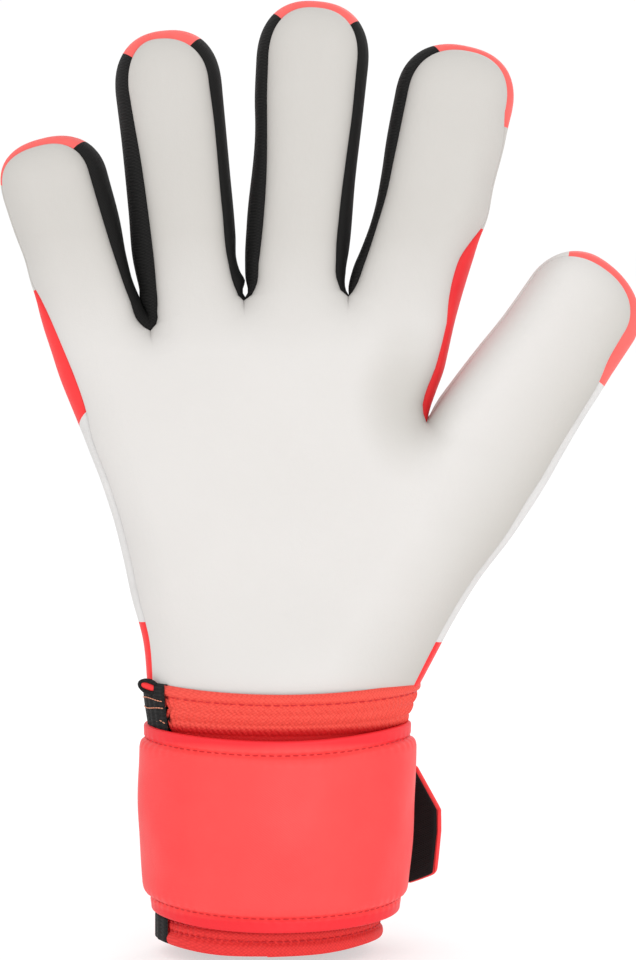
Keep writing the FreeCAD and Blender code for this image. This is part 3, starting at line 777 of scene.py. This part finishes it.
def build_walls(kind):
    """The palm or back walls: {finger: (grid, w)} and the hand's own grid, with a skirt below it that
    tucks into the elastic band."""
    walls = {name: finger_wall(name, kind) for name in FINGERS}
    roots = {name: walls[name][0][0] for name in FINGERS}
    plan = hand_plan(kind, roots)
    hand = lifted(plan, wall_y(plan, np.zeros(plan.shape[:2]), "", kind))
    for i, name in enumerate(("little", "ring", "middle", "index")):
        start = i * (COLUMNS - 1)
        hand[-1, start:start + COLUMNS] = walls[name][1][0]
    first = LOWER_ROWS - 1
    hand[first:first + COLUMNS, -1] = walls["thumb"][1][0][::-1]
    skirt = np.repeat(hand[:1], 2, axis=0)
    skirt[..., :2] *= np.array([0.955, 0.985])[:, None, None]
    skirt[..., 2] -= np.array([4.0, 1.6])[:, None]
    return {name: walls[name][1:] for name in FINGERS}, np.concatenate([skirt, hand])


def follow(obj, part):
    """Bakes a finger piece's transform into its mesh, the same for a lower piece as for an upper one."""
    if part == "lower":
        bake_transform(obj)
    else:
        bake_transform(obj)


def side_wall(front, outer, back, front_y, back_y):
    """A wall from a front edge to a back edge, bulged to the outer outline. With v from 0 to 1,
    plan = F + (B - F) v + (O - (F + B) / 2) sqrt(4 v (1 - v)), y = F + (B - F) v."""
    v = (1 - np.cos(np.linspace(0, math.pi, SIDE_STEPS)))[:, None] / 2
    swell = np.sqrt(4 * v * (1 - v))[..., None]
    out = outer - (front + back) / 2
    plan = mix(front[None], back[None], v[..., None]) + out[None] * swell
    return lifted(plan, mix(front_y[None], back_y[None], v))


def finger_side(name, p):
    """Side wall of a finger over outline places p, increasing."""
    finger = FINGERS[name]
    plans, w = {}, {}
    for kind in ("front", "outer", "back"):
        u, w[kind] = finger.outline(kind, p)
        plans[kind] = finger.plan(u, w[kind])
    front_y = -finger.edge_depth(p) - tilt(name, w["front"]) - forward(plans["front"])
    back_y = BACK_SEAM - tilt(name, w["back"]) - forward(plans["back"])
    return side_wall(plans["front"], plans["outer"], plans["back"], front_y, back_y)


def hand_side(table, share, word):
    """Side wall of the hand, at shares from 0 to 1 of the height of one of its side tables. On the
    little-finger side the panels meet on a slant, higher in front."""
    plans = {}
    for kind in ("front", "outer", "back"):
        z = mix(table[kind][0][0], table[kind][-1][0], share)
        if word == "left" and kind == "front":
            z = z + 3.6 * bell(z, 155.0, 9.0)
        plans[kind] = along_curve(table[kind], z)
    level = 0.0 * share
    front_depth = {
        "left": level + SEAM, "right": level + THUMB_SEAM, "index": mix(WEB_SEAM, SEAM, share),
    }
    ys = []
    for kind, sign, depth in (("front", -1.0, front_depth[word]), ("back", 1.0, level + BACK_SEAM)):
        points = plans[kind]
        if word != "index":
            depth = mix(depth, wrist_depth(points), near_wrist(points))
        ys.append(sign * depth - forward(points))
    return side_wall(plans["front"], plans["outer"], plans["back"], *ys)


def p_at(name, side, w):
    """Outline place at distance w along a finger's side."""
    finger = FINGERS[name]
    start = finger.edges["outer"][side][0][0]
    share = (w - start) / (finger.tips["outer"][0] - start)
    return share if side == 0 else 3.0 - share


def smooth_places(low, high, count):
    """Outline places from low to high, cut at the tip's start and end."""
    marks = [low] + [m for m in (1.0, 2.0) if low < m < high] + [high]
    rows = []
    for a, b in zip(marks[:-1], marks[1:]):
        rows.append(np.linspace(a, b, max(4, int(count * (b - a) / (high - low)) + 1)))
    return np.concatenate([rows[0], *(row[1:] for row in rows[1:])])


def bend_at_wrist(obj):
    """Bakes the transform of a piece that crosses the wrist into its mesh."""
    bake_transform(obj)


def build_hand_walls():
    """The palm's and the back's walls, the fingers' in two pieces each."""
    for kind, material, word, hand_node, finger_node, slot in (
        ("front", LATEX, "palm_latex", "palm_foam", "palm_foam", "latex_foam"),
        ("back", CORAL, "backhand_shell", "backhand", "back", "backhand_coral"),
    ):
        flip = kind == "back"
        walls, hand = build_walls(kind)
        shapes, jobs = [Shape().grid(hand, flip)], []
        for name, (points, w) in walls.items():
            row = int(np.argmax(w[:, COLUMNS // 2] > SPLIT[name]))
            shapes += [Shape().grid(points[:row + 1], flip), Shape().grid(points[row:], flip)]
            jobs += [(name, "lower", "base"), (name, "upper", "tip")]
        normals = shared_normals(shapes)
        obj = mesh_object(word, shapes[0], material, normals[0])
        bend_at_wrist(obj)
        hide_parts(hand_node)
        for (name, part, end), shape, normal in zip(jobs, shapes[1:], normals[1:]):
            obj = mesh_object(f"{name}_{word}_{part}", shape, material, normal)
            follow(obj, part)
            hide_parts(f"{name}_{finger_node}_{end}")


# a finger's sides, 0 the left and 1 the right: the w they run up to, None for the tip's cap
GUSSETS = [(0, None, GUSSET, "gusset"), (1, None, GUSSET, "gusset")]
FINGER_SIDES = {
    "little": [(0, 18, CORAL, "stripe"), GUSSETS[1]],
    "ring": GUSSETS,
    "middle": GUSSETS,
    "index": [GUSSETS[0], (1, 26, DEEP_CORAL, "web_side")],
    "thumb": [(1, 35, WHITE, "side_panel")],
}
# the ends of each tip's coral cap and of the rolls of palm latex, as outline places
CAPS = {
    "little": (1.10, 1.76), "ring": (1.22, 1.72), "middle": (1.24, 1.76), "index": (1.31, 2.06),
    "thumb": (1.28, p_at("thumb", 1, 35)),
}
ROLLS = {
    "little": (p_at("little", 0, 18), 1.10), "index": (2.06, p_at("index", 1, 26)),
    "thumb": (0.0, 1.28),
}


def build_finger_sides():
    """The side walls of the fingers, cut where the material changes and where the hinges part."""
    for name in FINGERS:
        cuts = [p_at(name, side, SPLIT[name]) for side in (0, 1)]
        spans = [(*CAPS[name], CORAL_CAP, "tip_cap")]
        if name in ROLLS:
            spans.append((*ROLLS[name], LATEX, "latex_roll"))
        for side, top, material, word in FINGER_SIDES[name]:
            stop = CAPS[name][side] if top is None else p_at(name, side, top)
            low, high, way = (0.0, stop, "left") if side == 0 else (stop, 3.0, "right")
            spans.append((low, high, material, f"{word}_{way}"))
        spans.sort(key=lambda span: span[0])
        pieces = []
        for low, high, material, word in spans:
            marks = sorted({low, high, *(c for c in cuts if low < c < high)})
            for a, b in zip(marks[:-1], marks[1:]):
                part = "upper" if cuts[0] - 1e-9 <= a and b <= cuts[1] + 1e-9 else "lower"
                places = smooth_places(a, b, max(6, int((b - a) * 52)))
                shape = Shape().grid(finger_side(name, places))
                pieces.append((shape, material, f"{name}_{word}", part))
        normals = shared_normals([piece[0] for piece in pieces])
        seen = {}
        for (shape, material, word, part), normal in zip(pieces, normals):
            seen[(word, part)] = seen.get((word, part), 0) + 1
            obj = mesh_object(f"{word}_{part}_{seen[(word, part)]}", shape, material, normal)
            follow(obj, part)
            gussets = "gussets" if name in ("ring", "middle") else "gusset"
            end = "base" if part == "lower" else "tip"
            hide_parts(f"{name}_tip_cap" if "tip_cap" in word else f"{name}_{gussets}_{end}")


def build_hand_sides():
    """The side walls of the hand, in panels between the heights given."""
    share = np.linspace(0.0, 1.0, 61)
    pieces = []
    for table, word, panels in (
        (PALM_LEFT, "left", [(77, 97, CORAL), (97, 154.5, WHITE), (154.5, 177, CORAL)]),
        (PALM_RIGHT, "right", [(77, 91, CORAL), (91, 131.6, WHITE)]),
        (INDEX_SIDE, "index", [(157.4, 184.2, DEEP_CORAL)]),
    ):
        first, last = table["outer"][0][0], table["outer"][-1][0]
        for i, (low, high, material) in enumerate(panels):
            own = mix((low - first) / (last - first), (high - first) / (last - first), share)
            shape = Shape().grid(hand_side(table, own, word), flip=word != "left")
            pieces.append((shape, material, f"hand_{word}_side_{i}"))
    for (shape, material, word), normal in zip(pieces, shared_normals([p[0] for p in pieces])):
        obj = mesh_object(word, shape, material, normal)
        bend_at_wrist(obj)


def build_punch_zone():
    """The raised panel on the hand's back: a rounded trapezium, its face moulded in slanted bars."""
    low, high = (np.array(c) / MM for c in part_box("punch_zone"))
    s, t = np.meshgrid(np.linspace(-1, 1, 141), np.linspace(-1, 1, 161))
    s, t = np.sin(s * math.pi / 2), np.sin(t * math.pi / 2)
    x, z = s * np.sqrt(1 - 0.3 * t ** 8), t * np.sqrt(1 - 0.3 * s ** 8)
    middle, half_height = (low + high) / 2, (high[2] - low[2]) / 2
    half = (high[0] - low[0]) / 2 * (0.83 + 0.17 * z)
    plan = np.stack([middle[0] + x * half, middle[2] + z * half_height], -1)
    edge = np.sqrt((1 - np.abs(s) ** 24) * (1 - np.abs(t) ** 24))
    lean = np.abs(plan[..., 0] - middle[0]) * 0.45
    wave = np.cos((plan[..., 1] + lean) * TURN / 9.0)
    margin = smooth((1 - np.abs(s)) / 0.12) * smooth((1 - np.abs(t)) / 0.12)
    bars = smooth((wave + 0.45) / 0.8) * margin
    split = 1 - 0.8 * bell(plan[..., 0], middle[0], 1.3)
    y = wall_y(plan, np.zeros(x.shape), "", "back")
    y = y + edge * (1.0 + 1.3 * bars * split) - 0.5 * (1 - edge)
    obj = mesh_object("punch_panel", Shape().grid(lifted(plan, y), flip=True), PUNCH)
    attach(obj, "hand")
    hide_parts("punch_zone")


build_hand_walls()
build_finger_sides()
build_hand_sides()
build_punch_zone()

# parts of the record that have no piece of their own here: the side walls stand for them
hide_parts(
    "little_side_panel", "thumb_side_panel", "thumb_web", "web_gussets", "backhand_lining",
)


# ---- the cuff -----------------------------------------------------------------------------------
FRONT = -math.pi / 2
BAND_SHIFT = 1.5  # the band and its webbing sit this far towards the thumb
HEM_SHIFT = -2.3  # and the hem this far away from it


class Oval:
    """A level oval round the wrist, and what is laid on it. Its angle t is -90 degrees in front."""

    def __init__(self, half_width, half_depth):
        self.half_width, self.half_depth = half_width, half_depth

    def grid(self, theta, z, out):
        """Points (a cos t, b sin t) moved by out along the oval's normal, at height z."""
        theta, z, out = np.broadcast_arrays(theta, z, out)
        nx, ny = np.cos(theta) / self.half_width, np.sin(theta) / self.half_depth
        long = np.hypot(nx, ny)
        x = self.half_width * np.cos(theta) + out * nx / long
        y = self.half_depth * np.sin(theta) + out * ny / long
        return np.stack([x, y, z], -1)

    def steps(self, low, high, count):
        """Angles of count places evenly spaced between two angles, and how far along each is."""
        fine = np.linspace(low, high, 2000)
        pace = np.hypot(self.half_width * np.sin(fine), self.half_depth * np.cos(fine))
        run = np.concatenate([[0], np.cumsum((pace[1:] + pace[:-1]) / 2)]) * (fine[1] - fine[0])
        far = np.linspace(0, run[-1], count)
        return np.interp(far, run, fine), far

    def ring(self, count):
        """Count places all round from the front: angles, how far along they are, and the way round."""
        theta, run = self.steps(FRONT, FRONT + TURN, count + 1)
        return theta[:-1], run[:-1], run[-1]

    def wall(self, theta, z, outer, inner):
        """A closed wall: up the outer face, over, down the inner face and back to the start."""
        up = self.grid(theta[None], z, outer)
        down = self.grid(theta[None], z, inner)[::-1]
        return Shape().grid(np.concatenate([up, down, up[:1]]), closed=True)

    def stitches(self, shape, theta, z, out, **how):
        """A row of stitches along a line."""
        line = self.grid(theta, z, out)
        stitch_row(shape, line, self.grid(theta, z, out + 1.0) - line, **how)

    def angle(self, x):
        """The angle in front at which the oval stands at x."""
        return -math.acos(x / self.half_width)


BAND_OVAL, WEBBING_OVAL = Oval(38.9, 26.2), Oval(39.2, 26.6)
STRAP_OVAL, SLEEVE_OVAL, HEM_OVAL = Oval(38.2, 28.4), Oval(35.2, 25.4), Oval(32.2, 25.4)


def in_front(theta):
    """1 at the middle of the cuff's front, 0 at its sides and behind."""
    return np.clip(-np.sin(theta), 0, 1)[None] ** 2


def taper(theta, little, thumb):
    """A measure that goes from one value on the little finger's side to another on the thumb's."""
    return mix(little, thumb, (1 + np.cos(theta))[None] / 2)


def stitch_shape():
    """A short thread lying along x: rings of six points with a rounded profile."""
    turn = np.arange(6) * math.pi / 3
    ring = np.stack([np.cos(turn), np.sin(turn)], 1)
    profile = ((-0.5, 0.08), (-0.42, 0.7), (-0.2, 1.0), (0.2, 1.0), (0.42, 0.7), (0.5, 0.08))
    rings = [np.column_stack([np.full(6, x), ring * radius]) for x, radius in profile]
    return Shape().grid(np.array(rings), closed=True).arrays()


def stitch_row(shape, line, outward, pitch=2.5, share=0.74, radius=0.3):
    """Stitches laid along a line of points, with an outward direction at each point."""
    step = np.linalg.norm(np.diff(line, axis=0), axis=1)
    run = np.concatenate([[0], np.cumsum(step)])
    count = int(run[-1] // pitch)
    at = (np.arange(count) + 0.5) * run[-1] / count

    def read(table, places):
        return np.stack([np.interp(places, run, table[:, i]) for i in range(3)], 1)

    tangent = read(line, at + 0.4) - read(line, at - 0.4)
    tangent /= np.linalg.norm(tangent, axis=1, keepdims=True)
    up = read(outward, at)
    up -= (up * tangent).sum(1, keepdims=True) * tangent
    up /= np.linalg.norm(up, axis=1, keepdims=True)
    axes = np.stack([tangent * pitch * share, up * radius, np.cross(tangent, up) * radius], 1)
    sunk = read(line, at) - up * 0.05
    shape.solids(*stitch_shape(), (sunk, axes))


def show(name, shape, material, body, nodes=(), shift=0.0):
    """Makes a cuff piece, shift mm towards the thumb. With no body it is left unattached, its transform
    baked in.
    """
    for points in shape.points:
        points[:, 0] += shift
    obj = mesh_object(name, shape, material)
    if body:
        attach(obj, body)
    else:
        bend_at_wrist(obj)
    if nodes:
        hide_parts(*nodes)


def build_band():
    """The elastic band above the strap: a rolled hem, a stitched line, three rows of slanted ribs
    that point by turns to either side, and a folded lower edge."""
    theta, run, around = BAND_OVAL.ring(1200)
    v = np.linspace(0, 1, 49)[:, None]
    bow = 2.3 * in_front(theta)
    low, high, seam = 61.6, 80.0, 0.81
    z = mix(low, high - bow, v)
    hem, fold = arch(v, 0.90, 0.085) * 1.25, arch(v, 0.05, 0.085) * 0.9
    rows = (v - 0.25) / 0.185
    row = np.floor(rows)
    inside = ((rows > 0) & (rows < 3)).astype(float)
    across = rows - row
    lean = np.where(row % 2 == 0, 1.0, -1.0) * across * 0.75
    period = around / round(around / 1.75)
    rib = 0.5 + 0.5 * np.cos(TURN * (run[None] / period + lean))
    round_row = arch(across, 0.5, 0.5)
    narrow = taper(theta, 1.5, 3.7) * (1 - smooth((v - 0.15) / 0.75))
    out = 0.8 - narrow + np.maximum(hem, fold) + inside * (0.28 + 0.42 * rib) * round_row
    crimp = 0.12 * np.sin(math.pi * run / period)[None] * bell(v, seam, 0.04)
    band = Shape().grid(BAND_OVAL.grid(theta[None], z, out + crimp), closed=True)
    inner = BAND_OVAL.grid(theta[None, ::4], z[:, ::4], (-0.4 - narrow)[:, ::4])
    band.grid(inner, flip=True, closed=True)
    show("elastic_band_knit", band, ELASTIC, None, ["elastic_band"], BAND_SHIFT)

    rows = Shape()
    turn, wave = np.append(theta, theta[0] + TURN), np.append(bow, bow[0, 0])
    BAND_OVAL.stitches(rows, turn, mix(low, high - wave, seam), 0.78, radius=0.32)
    show("elastic_band_stitches", rows, THREAD_CORAL, None, shift=BAND_SHIFT)


def strap_taper(theta, z):
    """How far the strap draws in at its sides towards its lower edge, more on the thumb's side."""
    return taper(theta, 1.9, 3.0) * np.cos(theta)[None] ** 2 * np.clip((66.0 - z) / 54.0, 0, 1)


STRAP_STITCH = {"pitch": 2.3, "radius": 0.22}


def build_strap():
    """The strap: a flat band round the wrist, and over its front a pad between stitched borders. Past
    the stitch line the pad rises 1.7 mm on a quarter circle, then 0.7 mm more to its middle."""
    theta = STRAP_OVAL.steps(0, TURN, 361)[0][:-1]
    v = np.linspace(0.0, 1.0, 25)[:, None]
    under_pad = smooth((0.3 - np.sin(theta))[None] / 0.9)
    z = mix(12.4 + 1.4 * under_pad, 67.0 - 4.5 * under_pad, v)
    shut = 0.7 * (1 - np.abs(2 * v - 1) ** 12)
    narrow = strap_taper(theta, z)
    band = STRAP_OVAL.wall(theta, z, shut - 0.5 - narrow, -1.8 - narrow)
    show("strap_band_cloth", band, STRAP, "cuff", ["strap_band"])

    back = math.asin(7.0 / STRAP_OVAL.half_depth)
    theta, run = STRAP_OVAL.steps(-math.pi - back, back, 420)
    from_end = np.minimum(run, run[-1] - run)[None]
    run = run[None]
    v = (1 - np.cos(np.linspace(0, math.pi, 121)))[:, None] / 2
    sag = 0.5 * np.sin(run / 23.0 + 0.6) + 0.25 * np.sin(run / 9.0)
    bow = in_front(theta)
    z = mix(12.0 - 1.7 * bow + 0.3 * sag, 67.2 - 2.6 * bow - 0.4 * sag, v)
    border, height = 4.5, 55.0
    stitch_line = border - 0.5
    from_edge = np.minimum(v, 1 - v) * height
    inner = np.clip((from_edge - border) / (height / 2 - border), 0, 1)
    crown = rounded(inner * 7.5, 1) * 1.7 + 0.7 * smooth(inner)
    dip = 0.45 * bell(from_edge, stitch_line, 0.45)
    soft = 0.16 * np.sin(run / 6.1 + 3 * v) * np.sin(v * 9.0) + 0.10 * np.sin(run / 3.3 - 4 * v + 1.0)
    pucker = 0.10 * np.sin(run * TURN / 3.1) * bell(from_edge, border, 2.0)
    thick = 0.9 + 0.5 * rounded(from_edge, 0.8) + crown + soft * crown - dip + pucker
    tuck = 0.4 * (1 - smooth(v * height / 9.0)) ** 2 * np.abs(np.cos(theta))[None] ** 2
    out = thick * rounded(from_end, 3.0) - tuck - strap_taper(theta, z)
    pad = Shape().grid(STRAP_OVAL.grid(theta[None], z, out))
    # the lower edge turned in
    lip, sink = np.array([(0.0, 0.0), (0.3, 1.7)]).T[..., None]
    pad.grid(STRAP_OVAL.grid(theta[None], z[:1] + lip, out[:1] - sink), flip=True)
    # and the upper one rounded over, then led down behind the pad
    lip, sink, follows = np.array(
        [(0.0, 0.0, 1), (0.15, 0.35, 1), (0.0, 0.8, 1), (-0.5, 0.2, 0), (-5.0, 0.2, 0)]
    ).T[..., None]
    pad.grid(STRAP_OVAL.grid(theta[None], z[-1:] + lip, out[-1:] * follows - sink))
    show("strap_pad_cloth", pad, STRAP, "cuff", ["strap_pad", "strap_borders"])

    rows = Shape()
    keep = slice(6, -6)
    for line in (stitch_line, height - stitch_line):
        row = int(np.argmin(np.abs(v[:, 0] * height - line)))
        STRAP_OVAL.stitches(rows, theta[keep], z[row, keep], out[row, keep] + 0.08, **STRAP_STITCH)
    show("strap_stitches", rows, THREAD_CORAL, "cuff")


def build_sleeve():
    """The sleeve inside the strap, its elastic hem at the wrist opening, and the lining above."""
    theta, run, _ = SLEEVE_OVAL.ring(720)
    sleeve = SLEEVE_OVAL.wall(theta, np.linspace(14.0, 60.0, 20)[:, None], -1.6, -2.6)
    show("sleeve_cloth", sleeve, ELASTIC, "cuff", ["cuff_sleeve"])

    low, high, lines = 4.3, 13.0, (0.42, 0.72)
    v = np.linspace(0, 1, 31)[:, None]
    run = run[None]
    wave = 0.35 * np.sin(run / 14.0) + 0.2 * np.sin(run / 5.0 + 1)
    sag = 1.5 * in_front(theta)
    z = mix(low - sag + wave * 0.6, high, v)
    groove = sum(0.3 * bell(v, line, 0.05) for line in lines)
    out = 0.5 + arch(v, 0.16, 0.18) * 0.9 - groove + 0.14 * np.sin(run * TURN / 2.2) * (v > 0.36)
    hem = HEM_OVAL.wall(theta, z, out, -2.2)
    show("hem_elastic", hem, HEM_KNIT, "cuff", ["cuff_hem"], HEM_SHIFT)
    rows = Shape()
    turn, foot = np.append(theta, theta[0] + TURN), low - np.append(sag, sag[0, 0])
    for line in lines:
        HEM_OVAL.stitches(rows, turn, mix(foot, high, line), 0.5, pitch=2.2, radius=0.24)
    show("hem_stitches", rows, THREAD_CORAL, "cuff", shift=HEM_SHIFT)

    theta = np.linspace(0, TURN, 121)[:-1]
    height = np.linspace(16.0, 160.0, 60)[:, None]
    close = arch(np.maximum(height, 110), 110, 50)
    widen = 3.5 * smooth((height - 80) / 30)
    x = (30.5 + widen) * close * np.cos(theta) + 3.0 * smooth((height - 90) / 60)
    y = (22.4 - 12.0 * smooth((height - 74) / 36)) * close * np.sin(theta)
    sock = np.stack([x, y, np.broadcast_to(height, x.shape)], -1)
    sock = Shape().grid(sock, flip=True, closed=True)
    show("lining_sock", sock, LINING, None, ["cuff_lining"])


def build_insert():
    """The black webbing let into the cuff on the little-finger side, above and below the strap, the
    bar tacks that hold it, rows of short threads, and the pull loop over its top."""
    strip = Shape()
    across = np.linspace(-1, 1, 40)[None]
    v = np.linspace(0, 1, 40)[:, None]
    swell = np.sqrt(np.clip(1 - np.abs(across) ** 6, 0, 1))
    ribs = 0.12 * np.sin((across + 1) * 4.5 * math.pi)
    face = (swell * 0.5 + ribs) * rounded(np.minimum(v, 1 - v), 0.08)

    def lay(oval, angles, z, base, shift):
        for out, flip in ((base + face, False), (base - 1.2, True)):
            points = oval.grid(angles[None], z, out)
            points[..., 0] += shift
            strip.grid(points, flip)

    angles = np.linspace(WEBBING_OVAL.angle(-38.8), WEBBING_OVAL.angle(-32.6), 40)
    base = 1.9 - 1.5 * (1 - smooth((v - 0.15) / 0.75))
    lay(WEBBING_OVAL, angles, mix(61.2, 79.6, v), base, BAND_SHIFT)
    low_angles = np.linspace(-math.pi - 0.25, HEM_OVAL.angle(-28.4), 40)
    lay(HEM_OVAL, low_angles, mix(4.0, 11.4, v), 1.2, HEM_SHIFT)
    show("insert_webbing", strip, WEBBING, None, ["cuff_insert"])

    tacks = Shape()
    for z, lift, first in ((75.0, 2.5, 1), (72.4, 2.1, 1), (68.6, 1.3, 26)):
        spread = np.linspace(angles[first], angles[-2], 60)
        height = z + 0.3 * np.sin(np.linspace(0, 5, 60) + z)
        WEBBING_OVAL.stitches(tacks, spread, height, lift, pitch=1.3, share=0.94, radius=0.16)
    show("bar_tack_threads", tacks, THREAD_ORANGE, None, ["bar_tacks"],
         shift=BAND_SHIFT)
    build_pull_loop(WEBBING_OVAL.grid((angles[0] + angles[-1]) / 2, 78.4, 2.4))


def build_pull_loop(foot):
    """The loop: a black cord bent into a flat ring before the strip's top, round a coral roll."""
    spot = foot + np.array([0.0, -1.2, 0.2])
    facing, lean = math.radians(-21), math.radians(-16)
    level_way = np.array([math.cos(facing), math.sin(facing), 0.0])
    up = np.array([0.0, 0.0, 1.0])
    normal = np.cross(level_way, up)
    long_way = math.cos(lean) * level_way + math.sin(lean) * up
    short_way = math.cos(lean) * up - math.sin(lean) * level_way
    ring = np.linspace(0, TURN, 17)[:-1]
    s = np.linspace(-1, 1, 25)
    plump = np.sqrt(1 - np.abs(s) ** 5)
    centre = spot + 2.7 * (s - 0.1)[:, None] * long_way - 0.5 * normal
    disc = np.cos(ring)[:, None] * normal + np.sin(ring)[:, None] * short_way
    roll = centre[:, None] + 1.15 * plump[:, None, None] * disc[None]
    roll = Shape().grid(roll, flip=True, closed=True)
    show("pull_loop_roll", roll, CORAL, None, shift=BAND_SHIFT)
    turn = np.linspace(0, TURN, 49)[:-1]
    radial = 3.0 * np.cos(turn)[:, None] * long_way + 1.6 * np.sin(turn)[:, None] * short_way
    centre = spot + radial
    radial /= np.linalg.norm(radial, axis=1, keepdims=True)
    disc = np.cos(ring)[None, :, None] * radial[:, None] + np.sin(ring)[None, :, None] * normal
    cord = centre[:, None] + 0.72 * disc
    cord = Shape().grid(np.concatenate([cord, cord[:1]]), flip=True, closed=True)
    show("pull_loop_cord", cord, WEBBING, None, ["pull_loop"], shift=BAND_SHIFT)


WRAP_RADIUS, WRAP_Y = 51.4, -23.0
WRAP_TURN, WRAP_END = math.radians(64.5), math.radians(106.5)
WRAP_ARC = (WRAP_END - WRAP_TURN) * WRAP_RADIUS


def wrap(s, out):
    """Plan point s mm along the flap from its sewn end, out mm off the wrap's circle: round the circle
    to the turn, then straight on."""
    radius = WRAP_RADIUS + out
    angle = WRAP_END - np.minimum(s, WRAP_ARC) / WRAP_RADIUS
    straight = np.maximum(s - WRAP_ARC, 0.0)
    x = radius * np.cos(angle) + straight * math.sin(WRAP_TURN)
    y = WRAP_Y + radius * np.sin(angle) - straight * math.cos(WRAP_TURN)
    return x, y


def wrap_sheet(s, low, high, inner, outer, wobble=0.0):
    """A closed sheet along the wrap: for each s a flat loop with rounded edges. Its far end is cut on
    a slant, shorter below."""
    turn = np.linspace(0, TURN, 50)
    across = np.sign(np.cos(turn)) * np.abs(np.cos(turn)) ** 0.35
    thick = np.sign(np.sin(turn)) * np.abs(np.sin(turn)) ** 0.7
    ends = rounded(np.minimum(s - s[0], s[-1] - s), 1.2)
    z = (low + high)[None] / 2 + (high - low)[None] / 2 * across[:, None]
    out = (inner + outer) / 2 + (outer - inner) / 2 * thick[:, None] * ends[None]
    out = out + wobble * np.sin(s / 5.0)[None] * np.sin(z / 7.0)
    near_end = np.clip((s - s[-1] + 10.0) / 10.0, 0, 1) ** 2
    short = 1.6 * near_end[None] * np.clip((32.0 - z) / 14.0, 0, 1)
    x, y = wrap(s - short, out)
    return Shape().grid(np.stack([x, y, z], -1))


def build_flap():
    """The flap that closes the strap, its hook face and grip, and the loop patch under it."""
    long = WRAP_ARC + 28.3
    low, high = 15.9, 51.8

    def top(s, margin):
        """The flap's upper edge, less a margin, is cut on a slant towards its end."""
        return high - margin - np.maximum(s - (long - 8.0 - margin), 0.0) * 13.0 / 8.0

    def foot(s, margin):
        """Its lower edge rises towards its end and turns a small corner."""
        corner = 1 - rounded(long - s, 2.0)
        return low + margin + 3.6 * np.clip((s - long + 10.0) / 10.0, 0, 1) + 1.6 * corner

    s = np.concatenate([
        np.linspace(0, 1.2, 8), np.linspace(1.5, long - 1.5, 110), np.linspace(long - 1.2, long, 8),
    ])
    s = s + 0.8 * (1 - s / long)
    root = 3.6 + 1.4 * smooth((s - 0.8) / 3.0)
    flap = wrap_sheet(s, foot(s, 0.0), top(s, 0.0), 3.0, root, wobble=0.1)
    show("flap_cloth", flap, STRAP, "closure", ["flap"])
    s = s[s > long - 1.1]
    grip = wrap_sheet(s, foot(s, 0.2), top(s, 0.2), 2.2, 5.3)
    show("flap_grip_edge", grip, CORAL, "closure", ["flap_grip"])
    s = np.linspace(1.6, long - 0.8, 110)
    hook = wrap_sheet(s, foot(s, 0.4), top(s, 0.45), 1.7, 3.05)
    show("hook_face", hook, HOOK, "closure", ["hook_patch"])
    s = np.linspace(1.2, WRAP_ARC + 0.5, 90)
    pile = wrap_sheet(s, np.full(90, low + 0.8), np.full(90, high - 0.8), 0.0, 1.2)
    show("loop_face", pile, PILE, "cuff", ["loop_patch"])

    rows = Shape()
    s = np.linspace(2.0, long - 4.0, 160)
    for z in (low + 1.6, high - 1.6):
        line, off = (np.stack([*wrap(s, out), np.full(160, z)], 1) for out in (5.05, 6.05))
        keep = (z < top(s, 1.2)) & (z > foot(s, 1.2))
        stitch_row(rows, line[keep], (off - line)[keep], **STRAP_STITCH)
    show("flap_stitches", rows, THREAD_CORAL, "closure")


build_band()
build_strap()
build_sleeve()
build_insert()
build_flap()


# ---- stage and camera ---------------------------------------------------------------------------
FLOOR_GLOW, WORLD_LIGHT = 0.53, 1.02
VIEW_HEIGHT, VIEW_DISTANCE = 0.2847, 0.66  # metres seen from top to bottom, and from how far


def build_stage():
    """A glowing white floor, even light from all sides and three soft lamps, and the camera."""
    scene = bpy.context.scene
    scene.view_settings.view_transform = "Standard"
    floor = Surface("stage_white", (0.5, 0.5, 0.5), 0.9)
    floor.tint(floor.noise(0.002), (0.50, 0.50, 0.50), (0.51, 0.51, 0.51))
    floor.shader.inputs["Emission Color"].default_value = (1, 1, 1, 1)
    floor.shader.inputs["Emission Strength"].default_value = FLOOR_GLOW
    x, y = np.meshgrid(np.linspace(-9000, 9000, 25), np.linspace(-9000, 9000, 25))
    points = np.stack([x, y, np.full_like(x, -0.6)], -1)
    mesh_object("floor", Shape().grid(points), floor.material)

    world = bpy.data.worlds.new("studio")
    world.use_nodes = True
    background = world.node_tree.nodes["Background"]
    background.inputs["Color"].default_value = (1, 1, 1, 1)
    background.inputs["Strength"].default_value = WORLD_LIGHT
    scene.world = world

    def light(name, place, aim, size, power):
        """A round lamp at a place, turned to an aim."""
        data = bpy.data.lights.new(name, "AREA")
        data.shape, data.size, data.energy = "DISK", size, power
        obj = bpy.data.objects.new(name, data)
        scene.collection.objects.link(obj)
        obj.location = place
        from_to = np.array(aim) - np.array(place)
        flat = math.hypot(from_to[0], from_to[1])
        obj.rotation_euler = (math.atan2(flat, -from_to[2]), 0, math.atan2(-from_to[0], from_to[1]))

    middle = (0.01, 0.0, 0.14)
    light("key", (0.17, -0.60, 0.12), (0.01, 0.0, 0.12), 0.22, 0.7)
    light("fill", (-0.5, -0.9, 0.5), middle, 0.4, 0.35)
    light("rim", (0.3, 0.7, 0.8), middle, 0.4, 0.9)

    camera = bpy.data.cameras.new("camera")
    camera.sensor_fit, camera.sensor_width = "AUTO", 36.0
    camera.lens = camera.sensor_width * VIEW_DISTANCE / VIEW_HEIGHT
    camera.clip_start, camera.clip_end = 0.01, 20.0
    obj = bpy.data.objects.new("camera", camera)
    scene.collection.objects.link(obj)
    obj.location = (0.0120, -VIEW_DISTANCE, 0.1388)
    obj.rotation_euler = (math.pi / 2, 0, 0)
    scene.camera = obj


build_stage()
